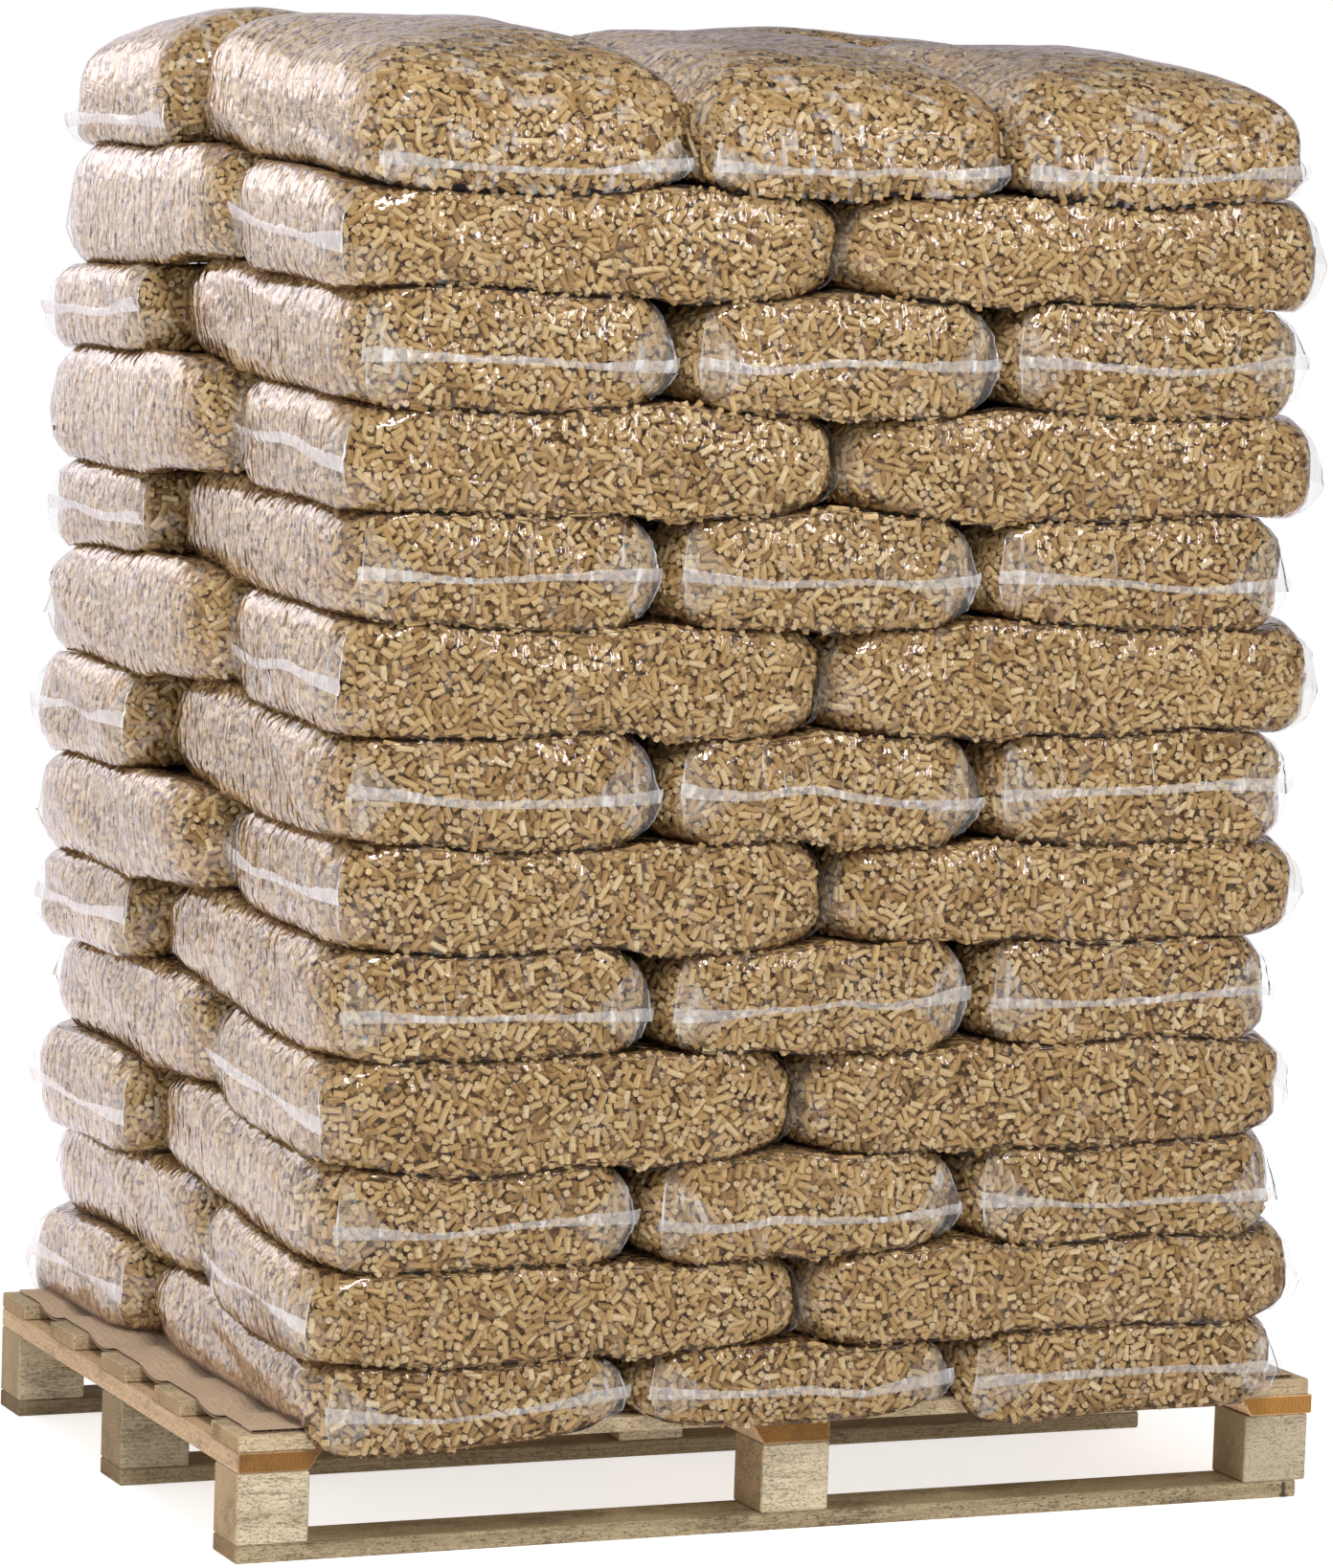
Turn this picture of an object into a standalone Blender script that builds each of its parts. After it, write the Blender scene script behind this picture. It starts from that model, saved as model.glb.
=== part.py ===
"""A light wooden pallet loaded with 65 clear film sacks of wood pellets.

The sacks lie in 13 crossed layers of five on a corrugated cardboard slip sheet. The sacks of
a layer press on each other, so each layer is one closed solid with the gaps between its sacks
cut into its faces, and it is pressed flat where the next layer lies on it.

Units are metres and +Z is up. The origin is on the floor under the middle of the pallet.
X runs along the pallet's long side, from left to right as seen from the front, and the front
is at -Y.
"""

import math
from dataclasses import dataclass

import bmesh
import bpy
from mathutils import Matrix, Vector

OBJECT_NAME = "pallet_of_sacks"
CUTTER_COLLECTION = "cutters"

# Clearance between pieces that touch
CONTACT_GAP = 0.0003

# Pallet
PALLET_LENGTH = 1.200
PALLET_WIDTH = 0.800
BLOCK_LENGTH = 0.075
BLOCK_WIDTH = 0.068
BLOCK_HEIGHT = 0.071
SKID_THICKNESS = 0.018
FRONT_SKID_SHORT = 0.011
STRINGER_THICKNESS = 0.021
STRINGER_WIDTH = 0.088
STRINGER_OVERHANG = 0.005
WANE_WIDTH = 0.014
DECK_BOARD_THICKNESS = 0.017
DECK_BOARD_WIDTH = 0.084
DECK_BOARD_COUNT = 5
SAWN_EDGE = 0.0015

# Heights of the pallet's courses above the floor
BLOCK_BASE = SKID_THICKNESS
STRINGER_BASE = BLOCK_BASE + BLOCK_HEIGHT
DECK_BASE = STRINGER_BASE + STRINGER_THICKNESS
DECK_TOP = DECK_BASE + DECK_BOARD_THICKNESS

# Cardboard slip sheet, which sags between the deck boards
SHEET_LENGTH = 1.168
SHEET_WIDTH = 0.784
SHEET_THICKNESS = 0.0035
SHEET_SAG = 0.007
SHEET_ROWS_PER_BOARD = 8
STACK_BASE = DECK_TOP + SHEET_THICKNESS

# Stack of sacks. The top of each layer climbs from the front to CLIMB_END, and is level behind it.
SACKS_ACROSS = 3
SACKS_ALONG = 2
STACK_FRONT = -0.450
STACK_BACK = 0.450
STACK_HALF_LENGTH = 0.540
CLIMB_END = 0.0

# Form of a sack. Neighbours press into each other by SACK_OVERLAP, and SACK_SWELL is how much
# thicker than its layer a sack would be if nothing pressed on it. FACET_ANGLE, below which
# facets are merged, is less than the bend where a layer's top stops climbing.
SACK_LENGTH = 0.545
SACK_OVERLAP = 0.016
SACK_CORNER = 0.060
SACK_INSET = 0.020
SACK_SWELL = 1.22
SACK_CROWN = 0.026
FACET_ANGLE = math.radians(3.0)

# The lowest layer hangs over the deck's long edges
DROOP = 0.030
DROOP_CLEARANCE = 0.004

# Room around and over the stack that the cutters reach into
FREE_TOP = 0.150
SLAB_MARGIN = 0.20


@dataclass(frozen=True)
class Layer:
    """Measured edges of one layer of sacks, all in metres.

    Args:
        left: x of the front row's left side.
        right: x of its right side.
        shift: how far the row's joints lie to the right of even spacing.
        back_shift: how far the back row lies to the left of the front row.
        top_left: height of the layer's top at the front, at its left end.
        top_right: height of the layer's top at the front, at its right end.
        rise: how much higher its top lies from the middle to the back.
    """

    left: float
    right: float
    shift: float
    back_shift: float
    top_left: float
    top_right: float
    rise: float

    def top(self, x: float, y: float) -> float:
        """Gives the height of the layer's top at a place."""
        across = (x / STACK_HALF_LENGTH + 1.0) / 2
        into_stack = (min(y, CLIMB_END) - STACK_FRONT) / (CLIMB_END - STACK_FRONT)
        return self.top_left + (self.top_right - self.top_left) * across + self.rise * into_stack


LAYERS = (
    Layer(-0.540, 0.546, -0.020, 0.021, 0.192, 0.202, 0.030),
    Layer(-0.548, 0.560, -0.018, -0.009, 0.283, 0.294, 0.040),
    Layer(-0.538, 0.535, -0.014, 0.025, 0.383, 0.395, 0.045),
    Layer(-0.542, 0.540, -0.025, 0.003, 0.493, 0.498, 0.036),
    Layer(-0.537, 0.518, 0.000, 0.030, 0.597, 0.607, 0.029),
    Layer(-0.530, 0.543, -0.004, 0.043, 0.702, 0.704, 0.033),
    Layer(-0.536, 0.530, -0.006, 0.037, 0.809, 0.817, 0.030),
    Layer(-0.536, 0.552, -0.018, 0.030, 0.914, 0.927, 0.046),
    Layer(-0.532, 0.518, -0.010, 0.027, 1.026, 1.038, 0.028),
    Layer(-0.536, 0.548, -0.008, 0.034, 1.126, 1.141, 0.046),
    Layer(-0.534, 0.526, -0.002, 0.035, 1.240, 1.256, 0.028),
    Layer(-0.545, 0.542, -0.006, 0.009, 1.336, 1.360, 0.056),
    Layer(-0.522, 0.521, 0.000, 0.024, 1.446, 1.466, 0.052),
)


@dataclass(frozen=True)
class Sack:
    """The plan of one sack in its layer, all in metres."""

    left: float
    right: float
    front: float
    back: float


def clear_scene() -> None:
    """Removes every object of the open file."""
    for obj in list(bpy.data.objects):
        bpy.data.objects.remove(obj, do_unlink=True)


def new_collection(name: str) -> bpy.types.Collection:
    """Adds a collection to the scene."""
    collection = bpy.data.collections.new(name)
    bpy.context.scene.collection.children.link(collection)
    return collection


def new_material(name: str, colour: tuple[float, float, float], roughness: float) -> bpy.types.Material:
    """Makes a non-metallic material of one colour."""
    material = bpy.data.materials.new(name)
    material.use_nodes = True
    shader = material.node_tree.nodes["Principled BSDF"]
    shader.inputs["Base Color"].default_value = (*colour, 1.0)
    shader.inputs["Roughness"].default_value = roughness
    shader.inputs["Metallic"].default_value = 0.0
    return material


def new_object(
    name: str,
    shape: bmesh.types.BMesh,
    collection: bpy.types.Collection,
    material: bpy.types.Material | None = None,
) -> bpy.types.Object:
    """Turns a bmesh into a named object with its material."""
    mesh = bpy.data.meshes.new(name)
    shape.to_mesh(mesh)
    shape.free()
    obj = bpy.data.objects.new(name, mesh)
    collection.objects.link(obj)
    if material:
        mesh.materials.append(material)
    return obj


def box_shape(low: Vector, high: Vector) -> bmesh.types.BMesh:
    """Makes a box between two corners."""
    shape = bmesh.new()
    size = high - low
    placed = Matrix.Translation((low + high) / 2) @ Matrix.Diagonal((*size, 1.0))
    bmesh.ops.create_cube(shape, size=1.0, matrix=placed)
    return shape


def round_edges(obj: bpy.types.Object, width: float) -> None:
    """Breaks an object's sharp edges with one flat chamfer."""
    bevel = obj.modifiers.new("sawn_edge", "BEVEL")
    bevel.width = width
    bevel.segments = 1
    bevel.limit_method = "ANGLE"


def add_board(
    name: str,
    low: tuple[float, float, float],
    size: tuple[float, float, float],
    collection: bpy.types.Collection,
    material: bpy.types.Material,
    wane_side: int = 0,
) -> bpy.types.Object:
    """Adds a sawn board or block.

    Args:
        name: the object's name.
        low: its lowest corner.
        size: its size, before the contact gap comes off its top.
        collection: where it goes.
        material: its wood.
        wane_side: -1 or 1 for a missing lower corner towards -X or +X, or 0 for none.

    Returns:
        The board.
    """
    low_corner = Vector(low)
    high_corner = low_corner + Vector(size) - Vector((0.0, 0.0, CONTACT_GAP))
    shape = box_shape(low_corner, high_corner)
    if wane_side:
        middle = (low_corner + high_corner) / 2
        for vertex in shape.verts:
            if vertex.co.z < middle.z and (vertex.co.x - middle.x) * wane_side > 0:
                vertex.co.x -= wane_side * WANE_WIDTH
    board = new_object(name, shape, collection, material)
    round_edges(board, SAWN_EDGE)
    return board


def build_pallet(collection: bpy.types.Collection) -> None:
    """Builds three skids, nine blocks, three stringers and five deck boards."""
    skid_wood = new_material("skid_wood", (0.34, 0.29, 0.20), 0.85)
    block_wood = new_material("block_wood", (0.55, 0.47, 0.31), 0.80)
    stringer_wood = new_material("stringer_wood", (0.52, 0.31, 0.13), 0.80)
    deck_wood = new_material("deck_wood", (0.58, 0.48, 0.31), 0.80)

    columns = {
        "left": -PALLET_LENGTH / 2,
        "centre": -BLOCK_LENGTH / 2,
        "right": PALLET_LENGTH / 2 - BLOCK_LENGTH,
    }
    rows = {
        "front": -PALLET_WIDTH / 2,
        "middle": -BLOCK_WIDTH / 2,
        "rear": PALLET_WIDTH / 2 - BLOCK_WIDTH,
    }
    for row, y in rows.items():
        short = FRONT_SKID_SHORT if row == "front" else 0.0
        skid_size = (PALLET_LENGTH - short, BLOCK_WIDTH, SKID_THICKNESS)
        add_board(f"skid_{row}", (-PALLET_LENGTH / 2, y, 0.0), skid_size, collection, skid_wood)
        for column, x in columns.items():
            block_size = (BLOCK_LENGTH, BLOCK_WIDTH, BLOCK_HEIGHT)
            add_board(f"block_{row}_{column}", (x, y, BLOCK_BASE), block_size, collection, block_wood)

    extra_width = STRINGER_WIDTH - BLOCK_LENGTH
    stringer_left_edges = {
        "left": columns["left"],
        "centre": columns["centre"] - extra_width,
        "right": columns["right"] - extra_width + STRINGER_OVERHANG,
    }
    for column, x in stringer_left_edges.items():
        size = (STRINGER_WIDTH, PALLET_WIDTH, STRINGER_THICKNESS)
        wane_side = 1 if column == "left" else -1
        low = (x, -PALLET_WIDTH / 2, STRINGER_BASE)
        add_board(f"stringer_{column}", low, size, collection, stringer_wood, wane_side)

    for index in range(DECK_BOARD_COUNT):
        low = (-PALLET_LENGTH / 2, deck_board_middle(index) - DECK_BOARD_WIDTH / 2, DECK_BASE)
        size = (PALLET_LENGTH, DECK_BOARD_WIDTH, DECK_BOARD_THICKNESS)
        add_board(f"deck_board_{index + 1}", low, size, collection, deck_wood)


def deck_board_middle(index: float) -> float:
    """Gives the y of a deck board's middle, counted from 0 at the front."""
    pitch = (PALLET_WIDTH - DECK_BOARD_WIDTH) / (DECK_BOARD_COUNT - 1)
    return -PALLET_WIDTH / 2 + DECK_BOARD_WIDTH / 2 + index * pitch


def build_slip_sheet(collection: bpy.types.Collection) -> None:
    """Builds the cardboard sheet on the deck, which sags between the boards."""
    cardboard = new_material("cardboard", (0.45, 0.31, 0.19), 0.85)
    row_count = SHEET_ROWS_PER_BOARD * (DECK_BOARD_COUNT - 1) + 2
    shape = bmesh.new()
    bmesh.ops.create_grid(shape, x_segments=1, y_segments=row_count, size=1.0)
    for vertex in shape.verts:
        place = (round((vertex.co.y + 1.0) / 2 * row_count) - 1) / SHEET_ROWS_PER_BOARD
        on_edge = abs(vertex.co.y) > 1.0 - 1.0 / row_count
        # A gap takes the middle half of the way from one board's middle to the next
        into_gap = math.sin(math.pi * (2 * (place % 1.0) - 0.5))
        vertex.co.x *= SHEET_LENGTH / 2
        vertex.co.y = math.copysign(SHEET_WIDTH / 2, vertex.co.y) if on_edge else deck_board_middle(place)
        vertex.co.z = DECK_TOP - SHEET_SAG * max(0.0, into_gap)
    sheet = new_object("slip_sheet", shape, collection, cardboard)
    solidify = sheet.modifiers.new("board_thickness", "SOLIDIFY")
    solidify.thickness = SHEET_THICKNESS - CONTACT_GAP
    solidify.offset = 1.0


def sack_spans(low: float, high: float, count: int, shift: float) -> list[tuple[float, float]]:
    """Divides a row into sacks that overlap a little where they press on each other.

    Args:
        low: x of the row's left side.
        high: x of its right side.
        count: how many sacks lie side by side.
        shift: how far the joints lie to the right of even spacing.

    Returns:
        The low and high x of each sack.
    """
    joints = [low + (high - low) * place / count + shift for place in range(1, count)]
    starts = [low] + [joint - SACK_OVERLAP / 2 for joint in joints]
    ends = [joint + SACK_OVERLAP / 2 for joint in joints] + [high]
    return list(zip(starts, ends))


def layer_sacks(index: int) -> list[Sack]:
    """Places the five sacks of a layer.

    Layers 0, 2, 4 and so on have three sacks end on at the front and two lengthwise behind
    them. The layers between have two lengthwise at the front and three end on behind.

    Args:
        index: the layer's place, counted from 0 at the bottom.

    Returns:
        Its sacks.
    """
    layer = LAYERS[index]
    if index % 2 == 0:
        counts = (SACKS_ACROSS, SACKS_ALONG)
        joint = STACK_FRONT + SACK_LENGTH
    else:
        counts = (SACKS_ALONG, SACKS_ACROSS)
        joint = STACK_BACK - SACK_LENGTH
    front_row = sack_spans(layer.left, layer.right, counts[0], layer.shift)
    back_left = layer.left - layer.back_shift
    back_right = layer.right - layer.back_shift
    back_row = sack_spans(back_left, back_right, counts[1], layer.shift)
    sacks = [Sack(*span, STACK_FRONT, joint + SACK_OVERLAP / 2) for span in front_row]
    sacks += [Sack(*span, joint - SACK_OVERLAP / 2, STACK_BACK) for span in back_row]
    return sacks


def layer_bottom(index: int, x: float, y: float) -> float:
    """Gives the height of the surface under a layer at a place."""
    return LAYERS[index - 1].top(x, y) if index else STACK_BASE - DROOP


def add_sack_cage(shape: bmesh.types.BMesh, sack: Sack, index: int) -> None:
    """Adds the coarse cage of one sack, which Subdivision Surface makes soft.

    The cage is a box with a loop near each of its four sides and one around its waist. It is
    a little thicker than its layer, whose flat contact faces are cut later.

    Args:
        shape: the bmesh that takes the cage.
        sack: the sack's plan.
        index: the place of its layer, counted from 0 at the bottom.
    """
    # Smoothing draws the waist in by a third of the inset, so the cage is that much larger
    half_x = (sack.right - sack.left) / 2 + SACK_INSET / 3
    half_y = (sack.back - sack.front) / 2 + SACK_INSET / 3
    cage = bmesh.new()
    bmesh.ops.create_cube(cage, size=2.0, matrix=Matrix.Diagonal((half_x, half_y, 1.0, 1.0)))
    loops = [(Vector((0.0, 0.0, 0.0)), Vector((0.0, 0.0, 1.0)))]
    for side in (-1.0, 1.0):
        loops.append((Vector((side * (half_x - SACK_CORNER), 0.0, 0.0)), Vector((1.0, 0.0, 0.0))))
        loops.append((Vector((0.0, side * (half_y - SACK_CORNER), 0.0)), Vector((0.0, 1.0, 0.0))))
    for point, normal in loops:
        everything = cage.verts[:] + cage.edges[:] + cage.faces[:]
        bmesh.ops.bisect_plane(cage, geom=everything, plane_co=point, plane_no=normal)

    crown = SACK_CROWN if index == len(LAYERS) - 1 else 0.0
    middle = Vector(((sack.left + sack.right) / 2, (sack.front + sack.back) / 2, 0.0))
    for vertex in cage.verts:
        up = round(vertex.co.z)
        at_side = abs(vertex.co.x) > half_x - SACK_CORNER / 2
        at_end = abs(vertex.co.y) > half_y - SACK_CORNER / 2
        if up and at_side:
            vertex.co.x -= math.copysign(SACK_INSET, vertex.co.x)
        if up and at_end:
            vertex.co.y -= math.copysign(SACK_INSET, vertex.co.y)
        vertex.co += middle
        low = layer_bottom(index, vertex.co.x, vertex.co.y)
        high = LAYERS[index].top(vertex.co.x, vertex.co.y)
        vertex.co.z = (low + high) / 2 + up * (high - low) / 2 * SACK_SWELL
        if up > 0 and not (at_side or at_end):
            vertex.co.z += crown
    mesh = bpy.data.meshes.new("sack_cage")
    cage.to_mesh(mesh)
    cage.free()
    shape.from_mesh(mesh)
    bpy.data.meshes.remove(mesh)


def slab_shape(index: int) -> bmesh.types.BMesh:
    """Makes the space between the surfaces under and over a layer, as a box with sloping faces."""
    reach = Vector((PALLET_LENGTH / 2 + SLAB_MARGIN, PALLET_WIDTH / 2 + SLAB_MARGIN, 1.0))
    slab = box_shape(-reach, reach)
    everything = slab.verts[:] + slab.edges[:] + slab.faces[:]
    bend = Vector((0.0, CLIMB_END, 0.0))
    bmesh.ops.bisect_plane(slab, geom=everything, plane_co=bend, plane_no=Vector((0.0, 1.0, 0.0)))
    lift = FREE_TOP if index == len(LAYERS) - 1 else -CONTACT_GAP
    for vertex in slab.verts:
        x, y, side = vertex.co
        vertex.co.z = LAYERS[index].top(x, y) + lift if side > 0 else layer_bottom(index, x, y)
    return slab


def add_cutter(name: str, shape: bmesh.types.BMesh, collection: bpy.types.Collection) -> bpy.types.Object:
    """Adds a wire object that only shapes others."""
    cutter = new_object(name, shape, collection)
    cutter.hide_render = True
    cutter.display_type = "WIRE"
    return cutter


def cut(obj: bpy.types.Object, cutter: bpy.types.Object, operation: str) -> None:
    """Cuts an object by another one, and merges the object's own overlapping forms."""
    boolean = obj.modifiers.new(cutter.name, "BOOLEAN")
    boolean.operation = operation
    boolean.object = cutter
    boolean.solver = "EXACT"
    boolean.use_self = True


def build_layer(
    index: int,
    collection: bpy.types.Collection,
    cutters: bpy.types.Collection,
    material: bpy.types.Material,
) -> bpy.types.Object:
    """Builds one layer of sacks as a closed solid."""
    shape = bmesh.new()
    for sack in layer_sacks(index):
        add_sack_cage(shape, sack, index)
    layer = new_object(f"sack_layer_{index + 1:02d}", shape, collection, material)
    soften = layer.modifiers.new("soft_form", "SUBSURF")
    soften.levels = 1
    soften.render_levels = 1
    cut(layer, add_cutter(f"slab_{index + 1:02d}", slab_shape(index), cutters), "INTERSECT")
    merge = layer.modifiers.new("flat_faces", "DECIMATE")
    merge.decimate_type = "DISSOLVE"
    merge.angle_limit = FACET_ANGLE
    merge.use_dissolve_boundaries = True
    return layer


def build_stack(collection: bpy.types.Collection, cutters: bpy.types.Collection) -> None:
    """Builds all layers, and lets the lowest one droop over the deck's long edges."""
    film = new_material("pellet_sacks", (0.51, 0.33, 0.14), 0.35)
    layers = [build_layer(index, collection, cutters, film) for index in range(len(LAYERS))]
    reach = Vector((PALLET_LENGTH / 2 + SLAB_MARGIN, PALLET_WIDTH / 2 + DROOP_CLEARANCE, 0.0))
    deck_space = box_shape(-reach, Vector((reach.x, reach.y, STACK_BASE)))
    cut(layers[0], add_cutter("deck_space", deck_space, cutters), "DIFFERENCE")


def main() -> None:
    """Builds the loaded pallet."""
    clear_scene()
    parts = new_collection(OBJECT_NAME)
    cutters = new_collection(CUTTER_COLLECTION)
    build_pallet(parts)
    build_slip_sheet(parts)
    build_stack(parts, cutters)


main()
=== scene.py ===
"""Looks of a light pallet loaded with clear film sacks of wood pellets.

The sacks lie in thirteen crossed layers of five. Each sack is a closed shell of clear film with
its end seam, over real pellets that lie in two courses on a dark core. All sizes are in metres,
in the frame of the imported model: X to the right, Y to the back, Z up.
"""

from __future__ import annotations

import copy
import logging
import math
from collections.abc import Sequence
from dataclasses import dataclass, field, replace
from enum import Enum

import bpy
import numpy as np
from mathutils import Matrix, Vector
from mathutils.bvhtree import BVHTree

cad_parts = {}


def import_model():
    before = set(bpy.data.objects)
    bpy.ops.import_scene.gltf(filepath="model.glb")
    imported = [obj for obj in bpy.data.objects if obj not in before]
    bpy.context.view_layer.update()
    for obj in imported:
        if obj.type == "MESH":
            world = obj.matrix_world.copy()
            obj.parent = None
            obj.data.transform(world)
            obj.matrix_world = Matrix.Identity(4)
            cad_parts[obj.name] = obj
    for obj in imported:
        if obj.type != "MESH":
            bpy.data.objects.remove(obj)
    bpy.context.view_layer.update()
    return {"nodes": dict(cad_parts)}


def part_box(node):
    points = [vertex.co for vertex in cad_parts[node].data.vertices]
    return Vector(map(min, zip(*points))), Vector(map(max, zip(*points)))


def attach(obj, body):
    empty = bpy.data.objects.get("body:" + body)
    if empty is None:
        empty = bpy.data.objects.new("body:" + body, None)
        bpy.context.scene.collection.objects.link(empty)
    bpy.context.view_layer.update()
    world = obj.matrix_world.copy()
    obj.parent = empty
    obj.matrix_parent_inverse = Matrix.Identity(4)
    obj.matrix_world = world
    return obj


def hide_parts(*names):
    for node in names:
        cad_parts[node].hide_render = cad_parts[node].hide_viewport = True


log = logging.getLogger("pallet_of_sacks")

BODY = "root"
PHOTO_HEIGHT = 1638

Array = np.ndarray
Rng = np.random.Generator
Socket = bpy.types.NodeSocket
Node = bpy.types.Node
Material = bpy.types.Material
Mesh = bpy.types.Mesh
Colour = tuple[float, float, float]
Point = tuple[float, float, float]
Pair = tuple[float, float]
Pellets = dict[str, Array]  # place, size and kind of each pellet
Faces = list[list[int]]
Skin = tuple[Array, Faces]  # points and faces of a closed shell
Grid = tuple[Array, Array]  # points and faces of a grid
Shape = tuple[Array, Array, Array, Array]  # points, faces, smooth flags and broken-end flags
Places = tuple[Array, ...]  # points or coordinates, with directions


class Nodes:
    """A short hand for building one node tree."""

    def __init__(self, tree: bpy.types.NodeTree) -> None:
        """Takes the tree and remembers where the next node goes."""
        self.tree = tree
        self.count = 0

    def add(self, kind: str, links: dict | None = None, **settings: object) -> Node:
        """Adds a node.

        Args:
            kind: the node's type name.
            links: what feeds its inputs, by input name or number: a socket or a plain value.
            settings: the node's own properties.

        Returns:
            The node.
        """
        node = self.tree.nodes.new(kind)
        node.location = (180 * (self.count % 12), -220 * (self.count // 12))
        self.count += 1
        for name, value in settings.items():
            setattr(node, name, value)
        for key, value in (links or {}).items():
            self.feed(node.inputs[key], value)
        return node

    def feed(self, socket: Socket, value: object) -> None:
        """Links a socket to an input, or sets the input to a plain value.

        Args:
            socket: the input.
            value: a socket or a plain value.
        """
        if isinstance(value, Socket):
            self.tree.links.new(value, socket)
        else:
            socket.default_value = value

    def math(self, operation: str, first: object, second: object = 0.0, third: object = 0.0,
             clamp: bool = False) -> Socket:
        """Adds a Math node and gives its output."""
        links = {0: first, 1: second, 2: third}
        return self.add("ShaderNodeMath", links, operation=operation, use_clamp=clamp).outputs[0]

    def vector(self, operation: str, first: object, second: object) -> Socket:
        """Adds a Vector Math node and gives its output."""
        return self.add("ShaderNodeVectorMath", {0: first, 1: second}, operation=operation).outputs[0]

    def facing(self, first: object, second: object) -> Socket:
        """Gives how far two directions agree, from -1 to 1."""
        node = self.add("ShaderNodeVectorMath", {0: first, 1: second}, operation="DOT_PRODUCT")
        return node.outputs["Value"]

    def blend(self, factor: object, first: object, second: object, kind: str = "MIX") -> Socket:
        """Mixes two colours.

        Args:
            factor: share of the second colour.
            first: a colour.
            second: a colour.
            kind: way of mixing.

        Returns:
            The mixed colour.
        """
        node = self.add("ShaderNodeMix", data_type="RGBA", blend_type=kind)
        self.feed(node.inputs["Factor"], factor)
        self.feed(node.inputs[6], first)
        self.feed(node.inputs[7], second)
        return node.outputs[2]

    def ramp(self, value: object, stops: Sequence[tuple[float, Colour]]) -> Socket:
        """Turns a value into a colour by a list of stops.

        Args:
            value: a value from 0 to 1.
            stops: values with their colours.

        Returns:
            The colour.
        """
        node = self.add("ShaderNodeValToRGB", {0: value})
        elements = node.color_ramp.elements
        while len(elements) < len(stops):
            elements.new(1.0)
        for element, (position, colour) in zip(elements, stops):
            element.position = position
            element.color = (*colour, 1.0)
        return node.outputs["Color"]

    def spread(self, value: object, low: float, high: float, to_low: float = 0.0,
               to_high: float = 1.0) -> Socket:
        """Maps a range of values to another one, and holds it there."""
        links = {"Value": value, "From Min": low, "From Max": high, "To Min": to_low, "To Max": to_high}
        return self.add("ShaderNodeMapRange", links, clamp=True).outputs["Result"]

    def place(self) -> Socket:
        """Gives the place on the piece, in metres."""
        return self.add("ShaderNodeTexCoord").outputs["Object"]

    def noise(self, place: object, scale: float, detail: float = 2.0, rough: float = 0.5) -> Socket:
        """Adds a noise and gives its value."""
        links = {"Vector": place, "Scale": scale, "Detail": detail, "Roughness": rough}
        return self.add("ShaderNodeTexNoise", links).outputs["Fac"]

    def streaks(self, place: object, density: Point, detail: float = 2.0, rough: float = 0.5) -> Socket:
        """Adds a noise with its own density along each axis and gives its value."""
        return self.noise(self.vector("MULTIPLY", place, density), 1.0, detail, rough)

    def bump(self, height: object, depth: float) -> Socket:
        """Adds a bump of a depth in metres and gives its normal."""
        return self.add("ShaderNodeBump", {"Height": height, "Distance": depth}).outputs["Normal"]

    def principled(self, output: Node, links: dict) -> None:
        """Adds the Principled shader with its inputs and links it to the material's output."""
        shader = self.add("ShaderNodeBsdfPrincipled", links)
        self.feed(output.inputs["Surface"], shader.outputs[0])


def new_material(name: str) -> tuple[Material, Nodes, Node]:
    """Makes an empty node material.

    Args:
        name: its name.

    Returns:
        The material, its node builder and its output node.
    """
    material = bpy.data.materials.new(name)
    material.use_nodes = True
    material.node_tree.nodes.clear()
    nodes = Nodes(material.node_tree)
    return material, nodes, nodes.add("ShaderNodeOutputMaterial")


def new_group(name: str, inputs: dict[str, tuple[str, object]],
              outputs: dict[str, str]) -> tuple[bpy.types.NodeTree, Nodes, Node, Node]:
    """Makes a shader node group.

    Args:
        name: its name.
        inputs: socket type and default value of each input.
        outputs: socket type of each output.

    Returns:
        The group, its node builder, its input node and its output node.
    """
    group = bpy.data.node_groups.new(name, "ShaderNodeTree")
    for socket_name, (kind, value) in inputs.items():
        socket = group.interface.new_socket(socket_name, in_out="INPUT", socket_type=kind)
        socket.default_value = value
    for socket_name, kind in outputs.items():
        group.interface.new_socket(socket_name, in_out="OUTPUT", socket_type=kind)
    nodes = Nodes(group)
    return group, nodes, nodes.add("NodeGroupInput"), nodes.add("NodeGroupOutput")


class Grain(Enum):
    """Which way a board's grain runs."""

    ALONG_X = (0.0, 0.0, 0.0)
    ALONG_Y = (0.0, 0.0, -math.pi / 2)


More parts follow.
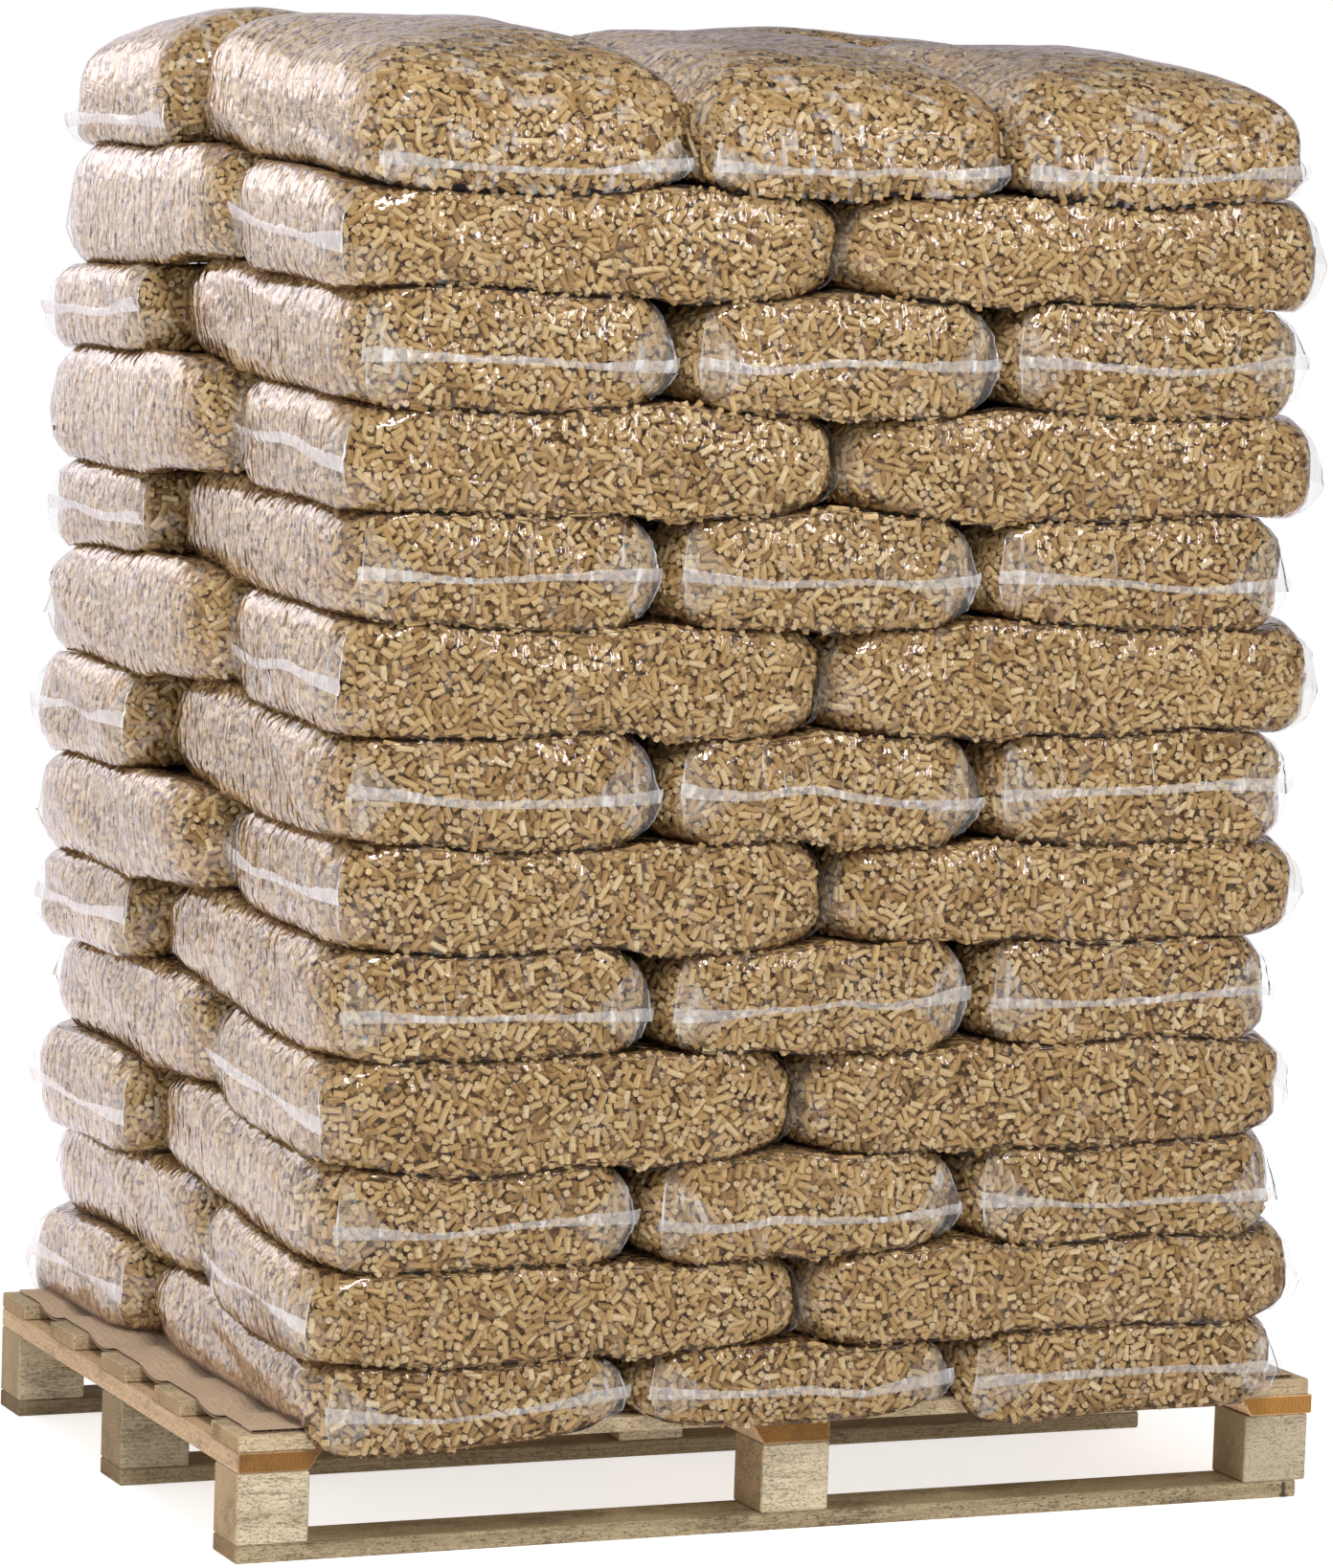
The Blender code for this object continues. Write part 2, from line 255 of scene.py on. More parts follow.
class SolidWood:
    """The node group that all sawn wood shares: growth rings, fibres, grime, cracks, end grain."""

    CRACK = (0.035, 0.022, 0.012, 1.0)

    def __init__(self) -> None:
        """Builds the group once."""
        inputs = {
            "Place": ("NodeSocketVector", (0.0, 0.0, 0.0)),
            "Along": ("NodeSocketVector", (1.0, 0.0, 0.0)),
            "Light": ("NodeSocketColor", (0.6, 0.5, 0.33, 1.0)),
            "Dark": ("NodeSocketColor", (0.4, 0.3, 0.17, 1.0)),
            "Dirt": ("NodeSocketColor", (0.135, 0.094, 0.052, 1.0)),
            "Dirt Amount": ("NodeSocketFloat", 0.5),
            "Ring Width": ("NodeSocketFloat", 0.004),
            "End Tint": ("NodeSocketColor", (0.7, 0.6, 0.5, 1.0)),
        }
        outputs = {"Color": "NodeSocketColor", "Height": "NodeSocketFloat",
                   "Roughness": "NodeSocketFloat"}
        self.tree, nodes, given, result = new_group("solid_wood", inputs, outputs)
        place = given.outputs["Place"]
        amount = given.outputs["Dirt Amount"]
        rings, fibre = self.rings(nodes, place, given.outputs["Ring Width"])
        wide = nodes.streaks(place, (4.0, 26.0, 26.0), 3.0, 0.6)
        share = nodes.spread(fibre, 0.3, 0.75, -0.2, 0.5)
        share = nodes.math("ADD", nodes.math("MULTIPLY", rings, 0.36), share)
        share = nodes.math("ADD", share, nodes.spread(wide, 0.35, 0.75, -0.1, 0.45), clamp=True)
        colour = nodes.blend(share, given.outputs["Light"], given.outputs["Dark"])
        soiled, crack = self.wear(nodes, place, amount)
        colour = nodes.blend(soiled, colour, given.outputs["Dirt"])
        normal = nodes.add("ShaderNodeNewGeometry").outputs["Normal"]
        facing = nodes.facing(normal, given.outputs["Along"])
        end_grain = nodes.spread(nodes.math("ABSOLUTE", facing), 0.6, 0.9)
        end_colour = nodes.blend(1.0, colour, given.outputs["End Tint"], "MULTIPLY")
        colour = nodes.blend(nodes.math("MULTIPLY", end_grain, 0.95), colour, end_colour)
        colour = nodes.blend(nodes.math("MULTIPLY", crack, 0.85), colour, self.CRACK)
        height = nodes.math("MULTIPLY", fibre, 0.7)
        height = nodes.math("SUBTRACT", height, nodes.math("MULTIPLY", rings, 0.2))
        height = nodes.math("SUBTRACT", height, nodes.math("MULTIPLY", soiled, 0.3))
        height = nodes.math("SUBTRACT", height, crack)
        nodes.feed(result.inputs["Color"], colour)
        nodes.feed(result.inputs["Height"], height)
        nodes.feed(result.inputs["Roughness"], nodes.spread(fibre, 0.3, 0.7, 0.66, 0.9))

    def rings(self, nodes: Nodes, place: object, width: object) -> tuple[Socket, Socket]:
        """Adds the growth rings and the fibres between them.

        Args:
            nodes: the node builder.
            place: the place on the piece.
            width: growth of one year.

        Returns:
            Masks of the rings and of the fibres.
        """
        warp = nodes.streaks(place, (1.5, 9.0, 9.0))
        split = nodes.add("ShaderNodeSeparateXYZ", {0: place})
        across = nodes.math("POWER", split.outputs["Y"], 2.0)
        across = nodes.math("ADD", across, nodes.math("POWER", split.outputs["Z"], 2.0))
        radius = nodes.math("ADD", nodes.math("SQRT", across), nodes.math("MULTIPLY", warp, 0.022))
        ring = nodes.math("PINGPONG", nodes.math("DIVIDE", radius, width), 0.5)
        fibre = nodes.streaks(place, (22.0, 620.0, 620.0), 3.0, 0.62)
        return nodes.spread(ring, 0.24, 0.5), fibre

    def wear(self, nodes: Nodes, place: object, amount: object) -> tuple[Socket, Socket]:
        """Adds the grime that gathers in the grain, and the drying cracks.

        Args:
            nodes: the node builder.
            place: the place on the piece.
            amount: how dirty the wood is.

        Returns:
            Masks of the grime and of the cracks.
        """
        dashes = nodes.streaks(place, (105.0, 470.0, 470.0), 3.0, 0.75)
        blotch = nodes.streaks(place, (9.0, 20.0, 20.0), 5.0, 0.68)
        dashes, patches = nodes.spread(dashes, 0.49, 0.64), nodes.spread(blotch, 0.32, 0.62)
        soiled = nodes.math("MULTIPLY", dashes, patches)
        soiled = nodes.math("ADD", soiled, nodes.spread(blotch, 0.54, 0.76, 0.0, 0.75), clamp=True)
        speck = nodes.streaks(place, (330.0, 620.0, 620.0), 1.0, 0.7)
        soiled = nodes.math("ADD", soiled, nodes.spread(speck, 0.55, 0.68, 0.0, 0.80), clamp=True)
        soiled = nodes.math("MULTIPLY", soiled, amount, clamp=True)
        line = nodes.streaks(place, (4.0, 80.0, 80.0), 1.0)
        line = nodes.spread(nodes.math("ABSOLUTE", nodes.math("SUBTRACT", line, 0.5)), 0.007, 0.0)
        gate = nodes.spread(nodes.streaks(place, (7.0, 16.0, 16.0), 1.0), 0.60, 0.66)
        return soiled, nodes.math("MULTIPLY", line, gate)


@dataclass(frozen=True)
class Timber:
    """What the boards of one kind have in common.

    Args:
        light: colour of the early wood.
        dark: colour of the late wood.
        dirt: how much grime lies on it, from 0 to 1.
        grain: which way the grain runs.
        end_tint: what the colour is multiplied with on end grain.
    """

    light: Colour
    dark: Colour
    dirt: float
    grain: Grain
    end_tint: Colour = (0.78, 0.645, 0.50)


@dataclass(frozen=True)
class WoodFinish:
    """Sawn softwood of one board.

    Args:
        name: the material's name.
        timber: its kind of wood.
        shade: how light this board is: its own tone, times the painted light or shade that some boards
            get.
        heart: where the log's heart lies, across the grain, in metres.
        ring_width: growth of one year.
        rough: depth of the saw's marks, in metres.
    """

    name: str
    timber: Timber
    shade: float
    heart: Pair
    ring_width: float = 0.0045
    rough: float = 0.0009

    def build(self, wood: SolidWood) -> Material:
        """Makes the material from the shared wood group.

        Args:
            wood: the shared node group.

        Returns:
            The material.
        """
        material, nodes, output = new_material(self.name)
        place = nodes.place()
        timber, grain = self.timber, self.timber.grain
        links = {"Vector": place, "Location": (0.0, *self.heart), "Rotation": grain.value}
        turned = nodes.add("ShaderNodeMapping", links, vector_type="POINT").outputs["Vector"]
        group = nodes.add("ShaderNodeGroup", node_tree=wood.tree)
        along = (1.0, 0.0, 0.0) if grain is Grain.ALONG_X else (0.0, 1.0, 0.0)
        light, dark = ((*(self.shade * part for part in colour), 1.0)
                       for colour in (timber.light, timber.dark))
        values = {"Place": turned, "Along": along, "Light": light, "Dark": dark,
                  "Dirt Amount": timber.dirt, "Ring Width": self.ring_width,
                  "End Tint": (*timber.end_tint, 1.0)}
        for name, value in values.items():
            nodes.feed(group.inputs[name], value)
        normal = nodes.bump(group.outputs["Height"], self.rough)
        nodes.principled(output, {"Base Color": group.outputs["Color"],
                                  "Roughness": group.outputs["Roughness"], "Normal": normal})
        return material


@dataclass(frozen=True)
class PelletFinish:
    """Pressed sawdust pellets: satin brown skin, streaks along them, paler broken ends."""

    name: str = "wood_pellets"

    SHADES = ((0.0, (0.24, 0.125, 0.042)), (0.30, (0.46, 0.275, 0.102)),
              (0.62, (0.66, 0.440, 0.195)), (1.0, (0.86, 0.680, 0.400)))
    BARK = (0.19, 0.095, 0.03, 1.0)
    DULL_END = (0.40, 0.235, 0.09, 1.0)
    PALE_END = (0.88, 0.70, 0.43, 1.0)

    def build(self) -> Material:
        """Makes the material, which reads the tint and the grain that each pellet carries.

        Returns:
            The material.
        """
        material, nodes, output = new_material(self.name)
        # Each pellet's tint is its own tone, with painted shade on the deeper course.
        tint = nodes.add("ShaderNodeAttribute", attribute_name="tint").outputs["Fac"]
        grain = nodes.add("ShaderNodeAttribute", attribute_name="grain").outputs["Vector"]
        broken = nodes.add("ShaderNodeAttribute", attribute_name="broken").outputs["Fac"]
        streak = nodes.streaks(grain, (70.0, 900.0, 1.0), 2.0, 0.6)
        fleck = nodes.streaks(grain, (650.0, 650.0, 1.0), 2.0, 0.7)
        shade = nodes.math("ADD", tint, nodes.spread(streak, 0.3, 0.7, -0.24, 0.24), clamp=True)
        skin = nodes.ramp(shade, self.SHADES)
        colour = nodes.blend(nodes.spread(fleck, 0.56, 0.72, 0.0, 0.70), skin, self.BARK)
        ends = nodes.blend(nodes.spread(fleck, 0.35, 0.65), self.DULL_END, self.PALE_END)
        colour = nodes.blend(nodes.math("MULTIPLY", broken, 0.75), colour, ends)
        links = {"Base Color": colour, "Roughness": nodes.spread(fleck, 0.3, 0.7, 0.42, 0.7),
                 "Normal": nodes.bump(fleck, 0.00035), "Specular IOR Level": 0.3}
        nodes.principled(output, links)
        return material


@dataclass(frozen=True)
class CoreFinish:
    """The pellets deeper in a sack, which only show between the upper ones. Their colour is painted
    darker than the pellets' own: painted shade in the gaps, darkest in the dips of their bumps.
    """

    name: str = "deep_pellets"
    grain: float = 135.0

    SHADES = ((0.0, (0.090, 0.046, 0.017)), (0.45, (0.27, 0.155, 0.060)), (1.0, (0.50, 0.305, 0.125)))

    def build(self) -> Material:
        """Makes the material.

        Returns:
            The material.
        """
        material, nodes, output = new_material(self.name)
        place = nodes.place()
        mound = nodes.spread(nodes.noise(place, self.grain, 1.0), 0.38, 0.62)
        # Painted shade: the deep pellets are coloured darker than the pellets' own colour, darkest where
        # the bumps dip.
        colour = nodes.ramp(mound, self.SHADES)
        links = {"Base Color": colour, "Roughness": 0.8, "Normal": nodes.bump(mound, 0.003),
                 "Specular IOR Level": 0.2}
        nodes.principled(output, links)
        return material


class FilmCreases:
    """The node group that all film shares: draped wrinkles, sharp folds, pellets pressing on it."""

    def __init__(self) -> None:
        """Builds the group once."""
        inputs = {"Wrinkle": ("NodeSocketFloat", 1.0), "Dent": ("NodeSocketFloat", 1.0),
                  "Fold": ("NodeSocketFloat", 1.0)}
        self.tree, nodes, given, result = new_group(
            "film_creases", inputs, {"Height": "NodeSocketFloat", "Ridge": "NodeSocketFloat"})
        drape = nodes.add("ShaderNodeAttribute", attribute_name="drape").outputs["Vector"]
        place = nodes.place()
        noise = nodes.add("ShaderNodeTexNoise", {"Vector": place, "Scale": 14.0, "Detail": 1.0})
        wander = noise.outputs["Color"]
        bent = nodes.vector("ADD", drape, nodes.vector("MULTIPLY", wander, (2.2, 2.2, 1.2)))
        fine = nodes.noise(bent, 1.0, 1.5, 0.5)
        dent = nodes.noise(place, 92.0, 0.0)
        slow = nodes.math("ABSOLUTE", nodes.math("SUBTRACT", nodes.noise(place, 27.0, 1.0), 0.5))
        height = nodes.math("MULTIPLY", fine, given.outputs["Wrinkle"])
        height = nodes.math("ADD", height, nodes.math("MULTIPLY", dent, given.outputs["Dent"]))
        height = nodes.math("ADD", height, nodes.math("MULTIPLY", slow, given.outputs["Fold"]))
        nodes.feed(result.inputs["Height"], height)
        nodes.feed(result.inputs["Ridge"], nodes.spread(fine, 0.56, 0.70))


@dataclass(frozen=True)
class FilmFinish:
    """Clear polyethylene film.

    Args:
        name: the material's name.
        haze: how milky the film is, from 0 to 1.
        ridge_haze: how much milkier its creases are.
        wrinkle: height of the wrinkles, as a share of the bump.
        dent: height of the dents where pellets press on it.
        fold: height of the sharp folds.
        roughness: of its gloss.
        gain: how much stronger its gloss is than one surface gives, because film has two.
        passes: the share of light that gets through to what lies under it.
    """

    name: str
    haze: float
    ridge_haze: float
    wrinkle: float
    dent: float
    fold: float
    roughness: float = 0.10
    gain: float = 1.9
    passes: float = 0.90

    CREASE_DEPTH = 0.0016
    CLEAR = (0.985, 0.985, 0.985, 1.0)
    GLOSS = (1.0, 0.895, 0.920, 1.0)
    MILK = (0.90, 0.89, 0.90, 1.0)

    def build(self, creases: FilmCreases) -> Material:
        """Makes the material: clear, with a gloss that grows towards grazing views.

        Args:
            creases: the shared node group.

        Returns:
            The material.
        """
        material, nodes, output = new_material(self.name)
        group = nodes.add("ShaderNodeGroup", node_tree=creases.tree)
        nodes.feed(group.inputs["Wrinkle"], self.wrinkle)
        nodes.feed(group.inputs["Dent"], self.dent)
        nodes.feed(group.inputs["Fold"], self.fold)
        normal = nodes.bump(group.outputs["Height"], self.CREASE_DEPTH)
        mirror = nodes.add("ShaderNodeFresnel", {"IOR": 1.5, "Normal": normal}).outputs[0]
        mirror = nodes.math("MULTIPLY", mirror, self.gain, clamp=True)
        clear = nodes.add("ShaderNodeBsdfTransparent", {"Color": self.CLEAR})
        links = {"Color": self.GLOSS, "Roughness": self.roughness, "Normal": normal}
        gloss = nodes.add("ShaderNodeBsdfGlossy", links)
        milk = nodes.add("ShaderNodeBsdfDiffuse", {"Color": self.MILK})
        share = nodes.spread(group.outputs["Ridge"], 0.0, 1.0, self.haze, self.haze + self.ridge_haze)
        body = nodes.add("ShaderNodeMixShader", {0: share, 1: clear.outputs[0], 2: milk.outputs[0]})
        whole = nodes.add("ShaderNodeMixShader", {0: mirror, 1: body.outputs[0], 2: gloss.outputs[0]})
        seen = nodes.add("ShaderNodeLightPath").outputs["Is Camera Ray"]
        through = nodes.add("ShaderNodeBsdfTransparent", {"Color": (*(self.passes,) * 3, 1.0)})
        either = nodes.add("ShaderNodeMixShader", {0: seen, 1: through.outputs[0], 2: whole.outputs[0]})
        nodes.feed(output.inputs["Surface"], either.outputs[0])
        return material


SKIN_FILM = FilmFinish("clear_film", haze=0.006, ridge_haze=0.060, wrinkle=1.4, dent=0.9, fold=2.4)
TOP_FILM = FilmFinish("top_film", haze=0.010, ridge_haze=0.300, wrinkle=1.3, dent=0.8, fold=2.4, gain=1.5)
SEAM_FILM = FilmFinish("seam_film", haze=0.28, ridge_haze=0.40, wrinkle=1.2, dent=0.3, fold=1.2,
                       roughness=0.15, gain=1.6)
# The seams of the lengthwise sacks get a milkier copy of the seam film, so that they show whiter than the
# front seams: the extra milkiness is painted light.
SIDE_SEAM_PAINTED_LIGHT_FILM = replace(SEAM_FILM, name="side_seam_painted_light_film", haze=0.42)
FOLD_FILM = FilmFinish("fold_film", haze=0.080, ridge_haze=0.26, wrinkle=1.2, dent=0.5, fold=2.0,
                       roughness=0.25, gain=0.12)


@dataclass(frozen=True)
class CardboardFinish:
    """Brown liner of corrugated board, with the faint bars of its flutes."""

    name: str = "cardboard"
    flute_pitch: float = 0.008
    brown: Colour = (0.55, 0.390, 0.262)
    pale: Colour = (0.71, 0.535, 0.390)
    dull: Colour = (0.48, 0.338, 0.225)

    def build(self) -> Material:
        """Makes the material.

        Returns:
            The material.
        """
        material, nodes, output = new_material(self.name)
        place = nodes.place()
        fibre = nodes.streaks(place, (260.0, 90.0, 260.0), 4.0, 0.7)
        cloud = nodes.noise(place, 7.0, 3.0)
        split = nodes.add("ShaderNodeSeparateXYZ", {0: place})
        turn = nodes.math("MULTIPLY", split.outputs["X"], 2 * math.pi / self.flute_pitch)
        bars = nodes.math("SINE", turn)
        colour = nodes.blend(nodes.spread(fibre, 0.35, 0.7), (*self.brown, 1.0), (*self.pale, 1.0))
        colour = nodes.blend(nodes.spread(cloud, 0.4, 0.8, 0.0, 0.5), colour, (*self.dull, 1.0))
        height = nodes.math("ADD", fibre, nodes.math("MULTIPLY", bars, 0.35))
        links = {"Base Color": colour, "Roughness": 0.82, "Normal": nodes.bump(height, 0.0003)}
        nodes.principled(output, links)
        return material


@dataclass(frozen=True)
class SteelFinish:
    """Dull, slightly rusty steel of the nail."""

    name: str = "nail_steel"

    def build(self) -> Material:
        """Makes the material.

        Returns:
            The material.
        """
        material, nodes, output = new_material(self.name)
        place = nodes.place()
        rust = nodes.spread(nodes.noise(place, 420.0, 3.0), 0.42, 0.62)
        colour = nodes.blend(rust, (0.26, 0.25, 0.24, 1.0), (0.16, 0.07, 0.03, 1.0))
        metallic = nodes.spread(rust, 0.0, 1.0, 0.9, 0.1)
        links = {"Base Color": colour, "Metallic": metallic, "Roughness": 0.5}
        nodes.principled(output, links)
        return material


@dataclass(frozen=True)
class FloorFinish:
    """A plain pale floor, which the film mirrors only faintly."""

    name: str = "studio_floor"

    def build(self) -> Material:
        """Makes the material.

        Returns:
            The material.
        """
        material, nodes, output = new_material(self.name)
        split = nodes.add("ShaderNodeSeparateXYZ", {0: nodes.place()})
        before = nodes.spread(split.outputs["Y"], 0.4, 1.3, 1.0, 0.0)
        before = nodes.math("MULTIPLY", before, nodes.spread(split.outputs["X"], -0.85, -0.62))
        path = nodes.add("ShaderNodeLightPath")
        faint = nodes.math("MULTIPLY", before, path.outputs["Is Glossy Ray"])
        colour = nodes.blend(faint, (0.84, 0.84, 0.84, 1.0), (0.18, 0.17, 0.16, 1.0))
        glow = nodes.math("MULTIPLY", nodes.spread(faint, 0.0, 1.0, 0.66, 0.0),
                          nodes.spread(path.outputs["Is Camera Ray"], 0.0, 1.0, 0.72, 1.0))
        links = {"Base Color": colour, "Roughness": 0.8, "Emission Strength": glow,
                 "Emission Color": (1.0, 1.0, 1.0, 1.0)}
        nodes.principled(output, links)
        return material


def quad_mesh(name: str, points: Array, quads: Array, smooth: Array) -> Mesh:
    """Makes a mesh of four-sided faces.

    Args:
        name: the mesh's name.
        points: its points, one row each.
        quads: the four points of each face.
        smooth: whether each face is shaded smooth.

    Returns:
        The mesh.
    """
    mesh = bpy.data.meshes.new(name)
    mesh.vertices.add(len(points))
    mesh.vertices.foreach_set("co", np.ascontiguousarray(points, np.float32).ravel())
    mesh.loops.add(quads.size)
    mesh.loops.foreach_set("vertex_index", np.ascontiguousarray(quads, np.int32).ravel())
    mesh.polygons.add(len(quads))
    mesh.polygons.foreach_set("loop_start", np.arange(0, quads.size, 4, dtype=np.int32))
    mesh.polygons.foreach_set("use_smooth", np.ascontiguousarray(smooth, bool))
    mesh.update(calc_edges=True)
    return mesh


def store(mesh: Mesh, name: str, values: Array) -> None:
    """Stores a number or a direction for each point of a mesh.

    Args:
        mesh: the mesh.
        name: name of the attribute that the material reads.
        values: one number for each point, or one row of three.
    """
    kind, what = ("FLOAT", "value") if values.ndim == 1 else ("FLOAT_VECTOR", "vector")
    layer = mesh.attributes.new(name, kind, "POINT")
    layer.data.foreach_set(what, values.astype(np.float32).ravel())


def join_shells(shells: Sequence[Skin]) -> tuple[list[list[float]], Faces]:
    """Joins shells into one list of points and one list of faces.

    Args:
        shells: points and faces of each shell.

    Returns:
        All points and all faces.
    """
    points: list[list[float]] = []
    faces: Faces = []
    for shell_points, shell_faces in shells:
        start = len(points)
        points.extend(shell_points.tolist())
        faces.extend([[start + corner for corner in face] for face in shell_faces])
    return points, faces


def place_piece(mesh: Mesh, materials: Sequence[Material]) -> bpy.types.Object:
    """Puts a mesh into the scene as a piece that rides on the load.

    Args:
        mesh: the mesh, whose name the piece takes.
        materials: its materials.

    Returns:
        The piece.
    """
    piece = bpy.data.objects.new(mesh.name, mesh)
    bpy.context.scene.collection.objects.link(piece)
    for material in materials:
        mesh.materials.append(material)
    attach(piece, BODY)
    log.info("%s built, %d faces", piece.name, len(mesh.polygons))
    return piece


def smooth_step(value: Array, low: float, high: float) -> Array:
    """Climbs smoothly from 0 at low to 1 at high."""
    share = np.clip((value - low) / (high - low), 0.0, 1.0)
    return share * share * (3 - 2 * share)


class Side(Enum):
    """A side of the stack, with its direction in plan."""

    FRONT = (0.0, -1.0)
    BACK = (0.0, 1.0)
    LEFT = (-1.0, 0.0)
    RIGHT = (1.0, 0.0)


@dataclass(frozen=True)
class Layer:
    """One layer of sacks, as the construction has it.

    Args:
        left: x of the front row's left side.
        right: x of its right side.
        shift: how far the row's joints lie to the right of even spacing.
        back_shift: how far the back row lies to the left of the front row.
        top_left: height of the layer's top at the front, at its left end.
        top_right: height of the layer's top at the front, at its right end.
        rise: how much higher its top lies from the middle to the back.
    """

    left: float
    right: float
    shift: float
    back_shift: float
    top_left: float
    top_right: float
    rise: float


LAYERS = (
    Layer(-0.540, 0.546, -0.020, 0.021, 0.192, 0.202, 0.030),
    Layer(-0.548, 0.560, -0.018, -0.009, 0.283, 0.294, 0.040),
    Layer(-0.538, 0.535, -0.014, 0.025, 0.383, 0.395, 0.045),
    Layer(-0.542, 0.540, -0.025, 0.003, 0.493, 0.498, 0.036),
    Layer(-0.537, 0.518, 0.000, 0.030, 0.597, 0.607, 0.029),
    Layer(-0.530, 0.543, -0.004, 0.043, 0.702, 0.704, 0.033),
    Layer(-0.536, 0.530, -0.006, 0.037, 0.809, 0.817, 0.030),
    Layer(-0.536, 0.552, -0.018, 0.030, 0.914, 0.927, 0.046),
    Layer(-0.532, 0.518, -0.010, 0.027, 1.026, 1.038, 0.028),
    Layer(-0.536, 0.548, -0.008, 0.034, 1.126, 1.141, 0.046),
    Layer(-0.534, 0.526, -0.002, 0.035, 1.240, 1.256, 0.028),
    Layer(-0.545, 0.542, -0.006, 0.009, 1.336, 1.360, 0.056),
    Layer(-0.522, 0.521, 0.000, 0.024, 1.446, 1.466, 0.052),
)


@dataclass(frozen=True)
class SackPlan:
    """The plan of one sack.

    Args:
        name: the sack's name.
        layer: place of its layer, counted from 0 at the bottom.
        low: lowest x and y.
        high: highest x and y.
        end: the side of the stack that its sewn end shows on.
    """

    name: str
    layer: int
    low: Pair
    high: Pair
    end: Side

    @property
    def lengthwise(self) -> bool:
        """Says whether the sack lies along the stack."""
        return self.end in (Side.LEFT, Side.RIGHT)

    @property
    def at_back(self) -> bool:
        """Says whether the sack reaches to the stack's back."""
        return self.high[1] > 0.4


@dataclass(frozen=True)
class StackLayout:
    """Where the sacks lie and how the surfaces between the layers run.

    Args:
        base: height of the slip sheet's top.
        front: y of the stack's front.
        back: y of its back.
        half_length: half of the stack's length.
        sack_length: length of one sack.
        climb_end: y where the layers' tops stop climbing.
        wave: height of the slow waves in those surfaces.
        dip: how far a surface dips where two sacks under it meet.
        lift: how far it lifts where two sacks over it meet.
        joint_reach: how far such a dip reaches.
        deck_edge: distance from the middle where the deck ends at the front and back.
        droop: how far the lowest sacks hang over the deck's front edge, by x.
    """

    base: float = 0.1305
    front: float = -0.450
    back: float = 0.450
    half_length: float = 0.540
    sack_length: float = 0.545
    climb_end: float = 0.0
    wave: float = 0.0022
    dip: float = 0.008
    lift: float = 0.005
    joint_reach: float = 0.030
    deck_edge: float = 0.394
    droop: tuple[Pair, ...] = (
        (-0.54, 0.027), (-0.40, 0.020), (-0.30, 0.013), (-0.21, 0.002), (-0.15, 0.008), (-0.05, 0.013),
        (0.05, 0.011), (0.13, 0.000), (0.20, 0.026), (0.33, 0.018), (0.54, 0.019))

    def rows(self, index: int) -> tuple[int, int, float]:
        """Gives how many sacks lie in a layer's front and back row, and the y where the rows meet.

        Args:
            index: the layer's number.

        Returns:
            Sacks at the front, sacks at the back, and that y.
        """
        if index % 2 == 0:
            return 3, 2, self.front + self.sack_length
        return 2, 3, self.back - self.sack_length

    def joints(self, index: int, back_row: bool) -> list[float]:
        """Gives the x of the joints between the sacks of a row, with the row's two ends.

        Args:
            index: the layer's number.
            back_row: whether it is the back row.

        Returns:
            Each x, from left to right.
        """
        layer = LAYERS[index]
        count = self.rows(index)[1 if back_row else 0]
        moved = layer.back_shift if back_row else 0.0
        left, right = layer.left - moved, layer.right - moved
        inner = [left + (right - left) * place / count + layer.shift for place in range(1, count)]
        return [left, *inner, right]

    def sacks(self, index: int) -> list[SackPlan]:
        """Lists the five sacks of a layer.

        Args:
            index: the layer's number.

        Returns:
            Their plans.
        """
        meeting = self.rows(index)[2]
        found = []
        for row, near, far in (("front", self.front, meeting), ("back", meeting, self.back)):
            edges = self.joints(index, row == "back")
            for place, (left, right) in enumerate(zip(edges, edges[1:])):
                if len(edges) == 4:
                    end = Side.FRONT if row == "front" else Side.BACK
                else:
                    end = Side.LEFT if place == 0 else Side.RIGHT
                name = f"sack_{index + 1:02d}_{row}_{place + 1}"
                found.append(SackPlan(name, index, (left, near), (right, far), end))
        return found

    def hollow(self, index: int, x: Array, y: Array) -> Array:
        """Gives how close each place is to a joint between two sacks of a layer, from 0 to 1.

        Args:
            index: the layer's number.
            x: places along it.
            y: places across it.

        Returns:
            That closeness for each place.
        """
        meeting = self.rows(index)[2]
        to_back = smooth_step(y, meeting - self.joint_reach, meeting + self.joint_reach)
        near = np.exp(-(((y - meeting) / self.joint_reach) ** 2)) * 0.6
        for back_row, share in ((False, 1 - to_back), (True, to_back)):
            for joint in self.joints(index, back_row)[1:-1]:
                near = np.maximum(near, share * np.exp(-(((x - joint) / self.joint_reach) ** 2)))
        return near

    def surface(self, index: int, x: Array, y: Array) -> Array:
        """Gives the height of the surface on top of a layer, or of the sheet for index -1.

        Args:
            index: the layer's number.
            x: places along it.
            y: places across it.

        Returns:
            The height at each place.
        """
        if index < 0:
            past_deck = smooth_step(np.abs(y), self.deck_edge, self.deck_edge + 0.02)
            hang = np.interp(x, [at for at, _ in self.droop], [depth for _, depth in self.droop])
            return self.base - hang * past_deck
        layer = LAYERS[index]
        across = (x / self.half_length + 1.0) / 2
        inwards = (np.minimum(y, self.climb_end) - self.front) / (self.climb_end - self.front)
        height = layer.top_left + (layer.top_right - layer.top_left) * across + layer.rise * inwards
        phase = 2.1 * index
        waves = np.sin(11.0 * x + 5.0 * y + phase) + np.sin(17.0 * x - 9.0 * y + 1.7 * phase)
        height = height + self.wave * (waves + np.sin(29.0 * x + 21.0 * y + 2.9 * phase))
        height = height - self.dip * self.hollow(index, x, y)
        if index + 1 < len(LAYERS):
            height = height + self.lift * self.hollow(index + 1, x, y)
        return height

    def edge_distance(self, x: Array, y: Array) -> Array:
        """Gives how far each place lies inside the stack's outline."""
        sides = [x + self.half_length, self.half_length - x, y - self.front, self.back - y]
        return np.minimum.reduce(sides)


